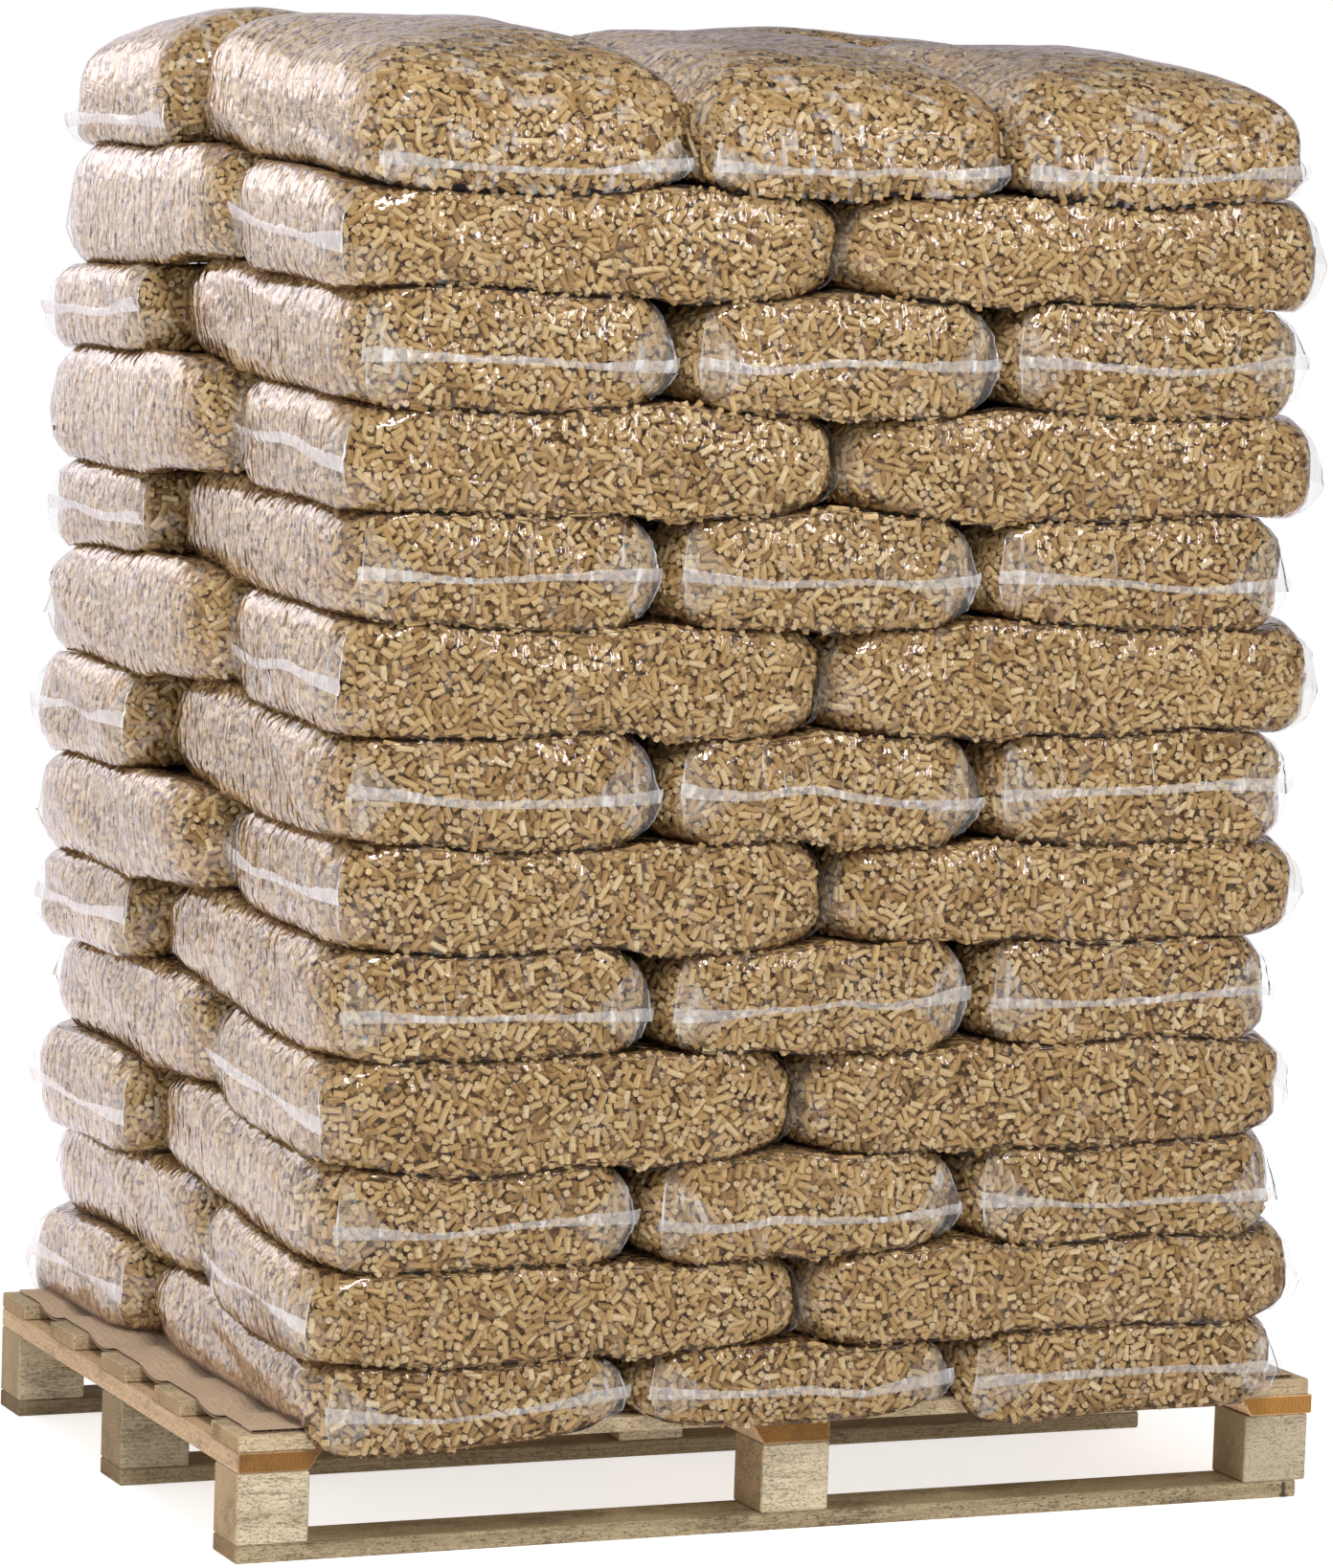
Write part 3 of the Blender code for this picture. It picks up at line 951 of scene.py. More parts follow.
class SackForm:
    """The curved surface of one sack.

    A place on it has two coordinates: s runs round the plan's outline in metres, and q climbs
    from the middle of the underside at -2 over the lower rim at -1 and the upper rim at 1 to the
    middle of the top at 2.
    """

    SQUARENESS = 9.0
    TOP_INSET = 0.015
    FOOT_INSET = 0.008
    FRONT_INSET = 0.0045
    FRONT_POWER = 2.2
    CORNER_INSET = 0.016
    CORNER_REACH = (0.62, 0.93)
    RIM_POWER = 4.6
    GAP = 0.0006
    LUMP = 0.0024
    LUMPS = 4
    LUMP_WAVES = ((9.0, 34.0), (1.0, 5.0), (0.0, 6.3))
    CROWN = 0.034
    CROWN_SPREAD = (0.85, 1.1)
    BACK_CROWN = 0.013
    CROWN_POWER = 3.0
    FREE_RIM = 0.50
    SIDE_POINTS = 96
    NEXT = (0.0008, 0.008)

    def __init__(self, plan: SackPlan, layout: StackLayout, rng: Rng) -> None:
        """Works out the outline and draws the sack's own lumps.

        Args:
            plan: the sack's plan.
            layout: where the sacks lie.
            rng: random source.
        """
        self.plan = plan
        self.layout = layout
        self.is_top = plan.layer == len(LAYERS) - 1
        self.middle = (np.array(plan.low) + np.array(plan.high)) / 2
        self.half = (np.array(plan.high) - np.array(plan.low)) / 2 - self.GAP
        self.lumps = [[rng.uniform(*limits) for limits in self.LUMP_WAVES] for _ in range(self.LUMPS)]
        self.crown = self.CROWN * rng.uniform(*self.CROWN_SPREAD)
        self.crown += self.BACK_CROWN if plan.at_back else 0.0
        corner = 2.0 ** (-1.0 / self.SQUARENESS)
        run = np.linspace(-corner, corner, self.SIDE_POINTS)[:-1]
        far = (1 - np.abs(run) ** self.SQUARENESS) ** (1 / self.SQUARENESS)
        sides = ((far, run), (-run, far), (-far, -run), (run, -far))
        ring = np.concatenate([np.stack(side, 1) for side in sides])
        ring = np.concatenate([ring, ring[:1]]) * self.half
        steps = np.linalg.norm(np.diff(ring, axis=0), axis=1)
        self.ring = ring
        self.ring_s = np.concatenate([[0.0], np.cumsum(steps)])
        self.around = float(self.ring_s[-1])

    def outline(self, s: Array) -> Places:
        """Gives the outline's x and y at s, and its outward direction there.

        Args:
            s: places round it.

        Returns:
            x, y, and the direction's x and y.
        """
        at = np.mod(s, self.around)
        x = np.interp(at, self.ring_s, self.ring[:, 0])
        y = np.interp(at, self.ring_s, self.ring[:, 1])
        power = self.SQUARENESS - 1
        out_x = np.sign(x) * np.abs(x / self.half[0]) ** power / self.half[0]
        out_y = np.sign(y) * np.abs(y / self.half[1]) ** power / self.half[1]
        size = np.hypot(out_x, out_y)
        return x + self.middle[0], y + self.middle[1], out_x / size, out_y / size

    def point(self, s: Array, q: Array) -> Array:
        """Gives the points of the surface at places (s, q), one row each.

        Args:
            s: places round it.
            q: places up it.

        Returns:
            The points.
        """
        x, y, out_x, out_y = self.outline(s)
        w = np.clip(q, -1.0, 1.0)
        over = np.clip(q - 1.0, 0.0, 1.0) ** (self.CROWN_POWER if self.is_top else 1.0)
        under = np.clip(-1.0 - q, 0.0, 1.0)
        held = ~((w > 0) & self.is_top)
        endways = np.abs(out_x)
        rim = endways * np.where(w > 0, self.TOP_INSET, self.FOOT_INSET)
        share_x = np.abs(x - self.middle[0]) / self.half[0]
        share_y = np.abs(y - self.middle[1]) / self.half[1]
        rim = rim + self.CORNER_INSET * smooth_step(np.minimum(share_x, share_y), *self.CORNER_REACH)
        bulge = (1 - endways) * self.FRONT_INSET * np.abs(w) ** self.FRONT_POWER
        push = sum(np.sin(a * s + b * w + c) for a, b, c in self.lumps) / len(self.lumps)
        off = push * self.LUMP * 2 * (1 - np.abs(w) ** 3)
        off = off - held * (rim * np.abs(w) ** self.RIM_POWER + bulge)
        inwards = 1.0 - over - under
        px = self.middle[0] + (x + out_x * off - self.middle[0]) * inwards
        py = self.middle[1] + (y + out_y * off - self.middle[1]) * inwards
        low = self.layout.surface(self.plan.layer - 1, px, py) + self.GAP
        high = self.layout.surface(self.plan.layer, px, py) - self.GAP
        if self.is_top:
            rim_height = low + self.FREE_RIM * (high - low)
            z = low + (rim_height - low) * (w + 1) / 2
            domed = (1 - inwards ** self.CROWN_POWER) ** (1 / self.CROWN_POWER)
            z = np.where(over > 0, rim_height + (high + self.crown - rim_height) * domed, z)
        else:
            z = low + (high - low) * (w + 1) / 2
        return np.stack([px, py, z], -1)

    def frame(self, s: Array, q: Array) -> Places:
        """Gives points with their directions round the sack, up it and out of it.

        Args:
            s: places round it.
            q: places up it.

        Returns:
            The points and the three directions.
        """
        ds, dq = self.NEXT
        here = self.point(s, q)
        along = self.point(s + ds, q) - self.point(s - ds, q)
        climb = self.point(s, q + dq) - self.point(s, q - dq)
        along /= np.linalg.norm(along, axis=1, keepdims=True) + 1e-12
        out = np.cross(along, climb)
        out /= np.linalg.norm(out, axis=1, keepdims=True) + 1e-12
        return here, along, np.cross(out, along), out

    def lifted(self, s: Array, q: Array, lift: Array | float) -> Array:
        """Gives points moved out of the surface."""
        here, _, _, out = self.frame(s, q)
        return here + out * np.reshape(lift, (-1, 1))

    def end_middle(self) -> float:
        """Gives s at the middle of the sewn end.

        Returns:
            That place round the sack.
        """
        direction = np.array(self.plan.end.value)
        outward = self.ring @ direction - 1e-3 * np.abs(self.ring @ direction[::-1])
        return float(self.ring_s[np.argmax(outward)])

    def end_half_width(self) -> float:
        """Gives half the width of the sewn end."""
        return float(self.half[1] if self.plan.lengthwise else self.half[0])

    def outline_steps(self, fine: float, coarse: float, reach: float) -> Array:
        """Gives values of s that lie close together on the stack's outside and far apart inside.

        Args:
            fine: spacing on the outside.
            coarse: spacing inside.
            reach: how deep the outside reaches.

        Returns:
            The values of s.
        """
        found = [0.0]
        while found[-1] < self.around - fine * 0.6:
            x, y, _, _ = self.outline(np.array([found[-1] + fine]))
            outside = self.layout.edge_distance(x, y)[0] < reach
            found.append(found[-1] + (fine if outside else coarse))
        return np.array([s for s in found if s < self.around - fine * 0.5])


@dataclass(frozen=True)
class Shell:
    """A closed mesh around a sack.

    Args:
        fine: spacing of its points where the sack shows.
        coarse: spacing where it doesn't.
        climb: the values of q of its rings, from the underside to the top.
        lift: how far it stands out of the sack's surface.
        rim_lift: the same at and past the rims.
    """

    fine: float
    coarse: float
    climb: tuple[float, ...]
    lift: float = 0.0
    rim_lift: float = 0.0

    SHOWN = 0.075
    NEAR_RIM = 0.99

    def build(self, form: SackForm) -> Skin:
        """Makes the shell's points and faces.

        Args:
            form: the sack's surface.

        Returns:
            Points and faces.
        """
        s = form.outline_steps(self.fine, self.coarse, self.SHOWN)
        count = len(s)
        climb = np.array(self.climb)
        grid_s, grid_q = np.meshgrid(s, climb)
        lift = np.where(np.abs(grid_q) > self.NEAR_RIM, self.rim_lift, self.lift)
        points = form.lifted(grid_s.ravel(), grid_q.ravel(), lift.ravel())
        faces = []
        for ring in range(len(climb) - 1):
            for place in range(count):
                after = (place + 1) % count
                row, above = ring * count, (ring + 1) * count
                faces.append([row + place, row + after, above + after, above + place])
        faces.append(list(range(count))[::-1])
        last = (len(climb) - 1) * count
        faces.append(list(range(last, last + count)))
        return points, faces


FILM_SHELL = Shell(fine=0.0130, coarse=0.070, climb=(
    -1.14, -1.0, -0.93, -0.82, -0.64, -0.34, 0.0, 0.34, 0.64, 0.82, 0.93, 1.0, 1.14))
TOP_FILM_SHELL = Shell(fine=0.0125, coarse=0.040, climb=(
    -1.14, -1.0, -0.92, -0.78, -0.50, -0.10, 0.30, 0.70, 1.0, 1.10, 1.20, 1.30, 1.40, 1.50, 1.60,
    1.70, 1.78, 1.86, 1.93, 1.98))
CORE_SHELL = Shell(fine=0.028, coarse=0.080, lift=-0.0064, rim_lift=-0.0024, climb=(
    -1.10, -1.0, -0.86, -0.4, 0.0, 0.4, 0.86, 1.0, 1.10))
TOP_CORE_SHELL = Shell(fine=0.028, coarse=0.080, lift=-0.0064, rim_lift=-0.0064, climb=(
    -1.10, -1.0, -0.82, -0.3, 0.3, 1.0, 1.2, 1.4, 1.55, 1.72, 1.86, 1.97))


@dataclass(frozen=True)
class PelletCarpet:
    """A flat, endlessly repeating field of packed pellets, in two courses.

    Pellets are thrown at random places and kept where they fit, as loose pellets settle. The
    second course fills the holes of the first one, a little deeper.

    Args:
        width: length after which the field repeats.
        height: width after which it repeats.
        cell: size of the squares that record what is covered.
        throws: how many pellets are thrown for each course.
        may_cover: how much of a pellet others of its own course may cover already.
        may_hide: how much of a second-course pellet the first course may cover.
        diameter: smallest and largest diameter.
        length: mean length.
        length_spread: how much the lengths differ.
        length_limits: shortest and longest length.
        on_end: share of pellets that stand on end.
    """

    width: float = 1.0
    height: float = 0.30
    cell: float = 0.001
    throws: tuple[int, int] = (20000, 12000)
    may_cover: float = 0.14
    may_hide: float = 0.50
    diameter: Pair = (0.0066, 0.0079)
    length: float = 0.0142
    length_spread: float = 0.0042
    length_limits: Pair = (0.007, 0.025)
    on_end: float = 0.20

    def throw(self, rng: Rng) -> Pellets:
        """Fills the field.

        Args:
            rng: source of the random throws.

        Returns:
            For each pellet its place u and v, angle, length, radius, course and whether it
            stands on end.
        """
        columns, rows = round(self.width / self.cell), round(self.height / self.cell)
        kept = []
        first = np.zeros((columns, rows), bool)
        for course, throws in enumerate(self.throws):
            own = np.zeros((columns, rows), bool)
            places = rng.uniform((0, 0), (self.width, self.height), (throws, 2))
            angles = rng.uniform(0, math.pi, throws)
            lengths = np.clip(rng.normal(self.length, self.length_spread, throws), *self.length_limits)
            radii = rng.uniform(*self.diameter, throws) / 2
            upright = rng.uniform(size=throws) < self.on_end
            for place, angle, length, radius, stands in zip(places, angles, lengths, radii, upright):
                half = radius if stands else length / 2
                along = np.arange(-half + self.cell / 2, half, self.cell)
                across = np.arange(-radius + self.cell / 2, radius, self.cell)
                a, b = (part.ravel() for part in np.meshgrid(along, across))
                if stands:
                    inside = a * a + b * b <= radius * radius
                    a, b = a[inside], b[inside]
                u = place[0] + a * math.cos(angle) - b * math.sin(angle)
                v = place[1] + a * math.sin(angle) + b * math.cos(angle)
                i = np.floor(u / self.cell).astype(int) % columns
                j = np.floor(v / self.cell).astype(int) % rows
                if own[i, j].mean() > self.may_cover:
                    continue
                if course and first[i, j].mean() > self.may_hide:
                    continue
                own[i, j] = True
                kept.append((*place, angle, length, radius, course, stands))
            first |= own
        table = np.array(kept, float)
        names = ("u", "v", "angle", "length", "radius", "course", "upright")
        return {name: table[:, column] for column, name in enumerate(names)}


@dataclass(frozen=True)
class Carpet:
    """A thrown field that can be laid over any rectangle, because it repeats."""

    width: float
    height: float
    pellets: Pellets

    def cover(self, across: float, up: float, rng: Rng) -> Pellets:
        """Lays the field over a rectangle, from a random start and turned over at random.

        Args:
            across: the rectangle's length.
            up: its width.
            rng: random source.

        Returns:
            The pellets in it.
        """
        start_u, start_v = rng.uniform(0, self.width), rng.uniform(0, self.height)
        turned = rng.uniform() < 0.5
        u = np.mod(self.pellets["u"] + start_u, self.width)
        v = np.mod(self.pellets["v"] + start_v, self.height)
        angle = self.pellets["angle"]
        if turned:
            v, angle = self.height - v, -angle
        tiles_u, tiles_v = math.ceil(across / self.width), math.ceil(up / self.height)
        laid: dict[str, list[Array]] = {name: [] for name in self.pellets}
        for tile_u in range(tiles_u):
            for tile_v in range(tiles_v):
                here_u, here_v = u + tile_u * self.width, v + tile_v * self.height
                inside = (here_u < across) & (here_v < up)
                laid["u"].append(here_u[inside])
                laid["v"].append(here_v[inside])
                laid["angle"].append(angle[inside])
                for name in ("length", "radius", "course", "upright"):
                    laid[name].append(self.pellets[name][inside])
        return {name: np.concatenate(parts) for name, parts in laid.items()}


class PelletShape:
    """The simple shapes that pellets are drawn with, which have only the faces that can show.

    A point of a shape has its share of the length along the pellet, then its place across it and
    out of the sack as shares of the radius. Each shape is given as its points, its faces, their
    smooth flags and the points' broken-end flags.
    """

    ARC = tuple(math.radians(angle) for angle in (-102.0, -36.0, 36.0, 102.0))
    SIDES = 6

    @classmethod
    def lying(cls, with_end: bool) -> Shape:
        """Makes a half round lying pellet, with or without the broken end that tips up.

        Args:
            with_end: whether the end is made.

        Returns:
            The shape.
        """
        rim = np.array([[0.0, math.sin(angle), math.cos(angle)] for angle in cls.ARC])
        near, far = rim + (-0.5, 0, 0), rim + (0.5, 0, 0)
        points = np.concatenate([near, far])
        quads = [[k, k + 1, k + 5, k + 4] for k in range(3)]
        smooth, broken = [True] * 3, [0.0] * 8
        if with_end:
            points = np.concatenate([points, far])
            quads.append([8, 9, 10, 11])
            smooth.append(False)
            broken += [1.0] * 4
        return points, np.array(quads), np.array(smooth), np.array(broken)

    @classmethod
    def standing(cls, with_sides: bool) -> Shape:
        """Makes the broken end of a standing pellet, with or without the sides that lean out.

        Args:
            with_sides: whether the sides are made.

        Returns:
            The shape.
        """
        turns = (np.arange(cls.SIDES) + 0.5) * 2 * math.pi / cls.SIDES
        rim = np.stack([np.zeros(cls.SIDES), np.cos(turns), np.sin(turns)], 1)
        end = rim + (0.5, 0, 0)
        cap = np.array([[0, 1, 2, 3], [0, 3, 4, 5]])
        if not with_sides:
            return end, cap, np.array([False] * 2), np.ones(cls.SIDES)
        points = np.concatenate([rim + (-0.5, 0, 0), end, end])
        quads = [[k, k + 1, cls.SIDES + k + 1, cls.SIDES + k] for k in range(1, 4)]
        quads.append([0, 1, cls.SIDES + 1, cls.SIDES])
        quads += (cap + 2 * cls.SIDES).tolist()
        broken = [0.0] * (2 * cls.SIDES) + [1.0] * cls.SIDES
        return points, np.array(quads), np.array([True] * 4 + [False] * 2), np.array(broken)


@dataclass
class PelletHeap:
    """Collects the pellets of one layer of sacks and turns them into one mesh."""

    GRAIN_STEP = 7.3

    points: list[Array] = field(default_factory=list)
    quads: list[Array] = field(default_factory=list)
    smooth: list[Array] = field(default_factory=list)
    tint: list[Array] = field(default_factory=list)
    grain: list[Array] = field(default_factory=list)
    broken: list[Array] = field(default_factory=list)
    count: int = 0
    total: int = 0

    def add(self, shape: Shape, places: Array, axes: tuple[Array, Array, Array],
            length: Array, radius: Array, tint: Array) -> None:
        """Adds pellets of one shape.

        Args:
            shape: the shape's points, faces, smooth flags and broken-end flags.
            places: middle of each pellet.
            axes: its direction along, across and out.
            length: its length.
            radius: its radius.
            tint: its shade, from 0 dark to 1 pale: its own tone, with painted shade on the deeper course.
        """
        points, quads, smooth, broken = shape
        along = points[None, :, 0:1] * length[:, None, None]
        across = points[None, :, 1:2] * radius[:, None, None]
        out = points[None, :, 2:3] * radius[:, None, None]
        solid = places[:, None] + axes[0][:, None] * along
        solid = solid + axes[1][:, None] * across + axes[2][:, None] * out
        number = np.arange(len(places), dtype=float)[:, None] + self.total
        steps = np.arange(len(places))[:, None, None] * len(points) + self.count
        size = (len(places), len(points))
        turn = np.arctan2(points[None, :, 1], points[None, :, 2]) * radius[:, None]
        self.points.append(solid.reshape(-1, 3))
        self.quads.append((quads[None] + steps).reshape(-1, 4))
        self.smooth.append(np.tile(smooth, len(places)))
        self.tint.append(np.broadcast_to(tint[:, None], size).ravel())
        self.broken.append(np.broadcast_to(broken[None], size).ravel())
        apart = np.broadcast_to(number * self.GRAIN_STEP, size)
        self.grain.append(np.stack([along[..., 0], turn, apart], -1).reshape(-1, 3))
        self.count += solid.shape[0] * solid.shape[1]
        self.total += len(places)

    def mesh(self, name: str) -> Mesh:
        """Makes the mesh with the tint, grain and broken-end attributes.

        Args:
            name: the mesh's name.

        Returns:
            The mesh.
        """
        faces = (self.points, self.quads, self.smooth)
        mesh = quad_mesh(name, *(np.concatenate(parts) for parts in faces))
        store(mesh, "tint", np.concatenate(self.tint))
        store(mesh, "broken", np.concatenate(self.broken))
        store(mesh, "grain", np.concatenate(self.grain))
        return mesh


class Daylight:
    """Tells which places on the sacks can be seen from outside the stack."""

    START = 0.0012
    REACH = 0.30
    SIDEWARDS = 0.7
    UPWARDS = 0.35
    LEAST = 0.05

    def __init__(self, shells: Sequence[Skin], layout: StackLayout) -> None:
        """Builds the search tree from the sacks' own shells."""
        self.tree = BVHTree.FromPolygons(*join_shells(shells))
        self.layout = layout

    def reaches(self, places: Array, out: Array) -> Array:
        """Says for each place whether a straight way out of the stack exists.

        Args:
            places: points on the sacks.
            out: outward direction at each.

        Returns:
            True where one exists.
        """
        sides = np.array([[*side.value, 0.0] for side in Side])
        open_way = np.zeros(len(places), bool)
        x, y = places[:, 0], places[:, 1]
        layout = self.layout
        gaps = (y - layout.front, layout.back - y, x + layout.half_length, layout.half_length - x)
        nearest = np.argsort(np.stack(gaps, 1), axis=1)
        upwards = np.array([0.0, 0.0, 1.0])
        for number in range(len(places)):
            start = Vector(places[number] + out[number] * self.START)
            ways = [out[number]]
            for side in sides[nearest[number][:2]]:
                sidewards = np.array([-side[1], side[0], 0.0]) * self.SIDEWARDS
                rise = upwards * self.UPWARDS
                ways += [side, side + sidewards, side - sidewards, side + rise, side - rise]
            ways.append(upwards)
            for way in ways:
                if way @ out[number] <= self.LEAST:
                    continue
                if self.tree.ray_cast(start, Vector(way), self.REACH)[0] is None:
                    open_way[number] = True
                    break
        return open_way


@dataclass(frozen=True)
class Filling:
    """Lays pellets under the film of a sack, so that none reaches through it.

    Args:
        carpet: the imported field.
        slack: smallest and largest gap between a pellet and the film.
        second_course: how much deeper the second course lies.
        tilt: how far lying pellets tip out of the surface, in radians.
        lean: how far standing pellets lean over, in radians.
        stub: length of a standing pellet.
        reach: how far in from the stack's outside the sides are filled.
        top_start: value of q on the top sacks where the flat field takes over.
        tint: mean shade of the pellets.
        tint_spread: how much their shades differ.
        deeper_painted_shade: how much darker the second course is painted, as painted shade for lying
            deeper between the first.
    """

    carpet: Carpet
    slack: Pair = (0.0004, 0.0015)
    second_course: float = 0.0024
    tilt: float = 0.19
    lean: float = 0.28
    stub: float = 0.008
    reach: float = 0.085
    top_start: float = 1.46
    tint: float = 0.51
    tint_spread: float = 0.20
    deeper_painted_shade: float = 0.10

    SIDE_STEPS = 60
    TOP_BAND = 0.6
    MIDDLE = 0.02

    def side_fields(self, form: SackForm, rng: Rng) -> tuple[Pellets, Places]:
        """Lays the field round a sack's side.

        Args:
            form: the sack's surface.
            rng: random source.

        Returns:
            The pellets, and for each the middle, the two ends, the outward and the upward
            direction on the sack's surface.
        """
        highest = self.top_start if form.is_top else 1.0
        q = np.linspace(-1.0, highest, self.SIDE_STEPS)
        middle = np.full_like(q, form.end_middle())
        steps = np.linalg.norm(np.diff(form.point(middle, q), axis=0), axis=1)
        height = np.concatenate([[0.0], np.cumsum(steps)])
        laid = self.carpet.cover(form.around, float(height[-1]), rng)
        x, y, _, _ = form.outline(laid["u"])
        near = form.layout.edge_distance(x, y) < self.reach
        if form.is_top:
            near |= laid["v"] > self.TOP_BAND * height[-1]
        laid = {name: values[near] for name, values in laid.items()}
        half_u, half_v = self.half_spans(laid)
        here, _, up, out = form.frame(laid["u"], np.interp(laid["v"], height, q))
        ends = [form.point(laid["u"] + side * half_u, np.interp(laid["v"] + side * half_v, height, q))
                for side in (-1, 1)]
        return laid, (here, *ends, out, up)

    def top_fields(self, form: SackForm, rng: Rng) -> tuple[Pellets, Places]:
        """Lays the field flat over a top sack, and gives the same as for its side.

        Args:
            form: the sack's surface.
            rng: random source.

        Returns:
            The pellets and the same places and directions.
        """
        size = 2 * form.half
        laid = self.carpet.cover(float(size[0]), float(size[1]), rng)
        x, y = laid["u"] - form.half[0], laid["v"] - form.half[1]
        rho = self.ring_share(form, x, y)
        inside = (rho < 1.0 - (self.top_start - 1.0) ** form.CROWN_POWER) & (rho > self.MIDDLE)
        laid = {name: values[inside] for name, values in laid.items()}
        x, y = x[inside], y[inside]
        half_u, half_v = self.half_spans(laid)
        here, _, _, out = form.frame(*self.top_place(form, x, y))
        ends = [form.point(*self.top_place(form, x + side * half_u, y + side * half_v))
                for side in (-1, 1)]
        sideways = np.cross(np.array([0.0, 1.0, 0.0]), out)
        sideways /= np.linalg.norm(sideways, axis=1, keepdims=True)
        return laid, (here, *ends, out, np.cross(out, sideways))

    def half_spans(self, laid: Pellets) -> Places:
        """Gives how far each pellet's end lies from its middle along the field's two directions."""
        half = np.where(laid["upright"] > 0.5, 0.0, laid["length"] / 2)
        return half * np.cos(laid["angle"]), half * np.sin(laid["angle"])

    def ring_share(self, form: SackForm, x: Array, y: Array) -> Array:
        """Gives how far out a place on a top sack lies, from 0 in its middle to 1 at its outline."""
        power = form.SQUARENESS
        return (np.abs(x / form.half[0]) ** power + np.abs(y / form.half[1]) ** power) ** (1 / power)

    def top_place(self, form: SackForm, x: Array, y: Array) -> Places:
        """Gives the surface coordinates s and q of places on a top sack.

        Args:
            form: the sack's surface.
            x: places from the sack's middle, along the stack.
            y: the same, across it.

        Returns:
            s and q.
        """
        ring = form.ring / form.half
        ring_angle = np.unwrap(np.arctan2(ring[:, 1], ring[:, 0]))
        angle = np.arctan2(y / form.half[1], x / form.half[0])
        angle = np.where(angle < ring_angle[0], angle + 2 * math.pi, angle)
        inwards = np.clip(1.0 - self.ring_share(form, x, y), 0.0, 1.0)
        return np.interp(angle, ring_angle, form.ring_s), 1.0 + inwards ** (1 / form.CROWN_POWER)

    def fill(self, form: SackForm, heap: PelletHeap, daylight: Daylight, rng: Rng) -> None:
        """Adds the pellets of a sack that show from outside to a layer's heap.

        Args:
            form: the sack's surface.
            heap: the layer's pellets.
            daylight: tells what shows.
            rng: random source.
        """
        fields = [self.side_fields(form, rng)]
        if form.is_top:
            fields.append(self.top_fields(form, rng))
        for laid, surface in fields:
            shown = daylight.reaches(surface[0], surface[3])
            laid = {name: values[shown] for name, values in laid.items()}
            self.lay(laid, tuple(part[shown] for part in surface), heap, rng)

    def lay(self, laid: Pellets, surface: Places, heap: PelletHeap, rng: Rng) -> None:
        """Turns places of the field into pellets.

        Args:
            laid: the pellets of the field.
            surface: middle, both ends, outward and upward direction of each.
            heap: where they go.
            rng: source of the random tilts and tints.
        """
        here, first, second, out, up = surface
        count = len(here)
        tilt = np.abs(rng.normal(0.0, self.tilt, count))
        # The second course is painted darker: painted shade for lying deeper.
        tint = rng.normal(self.tint, self.tint_spread, count) - self.deeper_painted_shade * laid["course"]
        tint = np.clip(tint, 0.0, 1.0)
        slack = rng.uniform(*self.slack, count) + laid["course"] * self.second_course
        middle = (first + second) / 2
        dent = np.maximum(0.0, ((middle - here) * out).sum(1))
        along = (second - first) * np.where(rng.uniform(size=count) < 0.5, -1.0, 1.0)[:, None]
        along /= np.linalg.norm(along, axis=1, keepdims=True) + 1e-9
        tipped = along * np.cos(tilt)[:, None] + out * np.sin(tilt)[:, None]
        across = np.cross(out, tipped)
        across /= np.linalg.norm(across, axis=1, keepdims=True) + 1e-9
        depth = laid["radius"] + np.sin(tilt) * laid["length"] / 2 + slack + dent
        lying = (middle - out * depth[:, None], tipped, across, np.cross(tipped, across), laid["length"])
        lean, turn = np.abs(rng.normal(0.0, self.lean, count)), rng.uniform(0, 2 * math.pi, count)
        aside = np.cross(up, out) * np.cos(turn)[:, None] + up * np.sin(turn)[:, None]
        axis = out * np.cos(lean)[:, None] + aside * np.sin(lean)[:, None]
        shown = out * np.sin(lean)[:, None] - aside * np.cos(lean)[:, None]
        sunk = self.stub / 2 * np.cos(lean) + laid["radius"] * np.sin(lean) + slack
        foot = here - out * sunk[:, None]
        standing = (foot, axis, shown, np.cross(axis, shown), np.full(count, self.stub))
        kinds = ((False, PelletShape.lying, lying), (True, PelletShape.standing, standing))
        for course in (0, 1):
            for upright, shape, places in kinds:
                pick = ((laid["upright"] > 0.5) == upright) & (laid["course"] == course)
                spot, *axes, length = (part[pick] for part in places)
                heap.add(shape(course == 0), spot, tuple(axes), length, laid["radius"][pick], tint[pick])


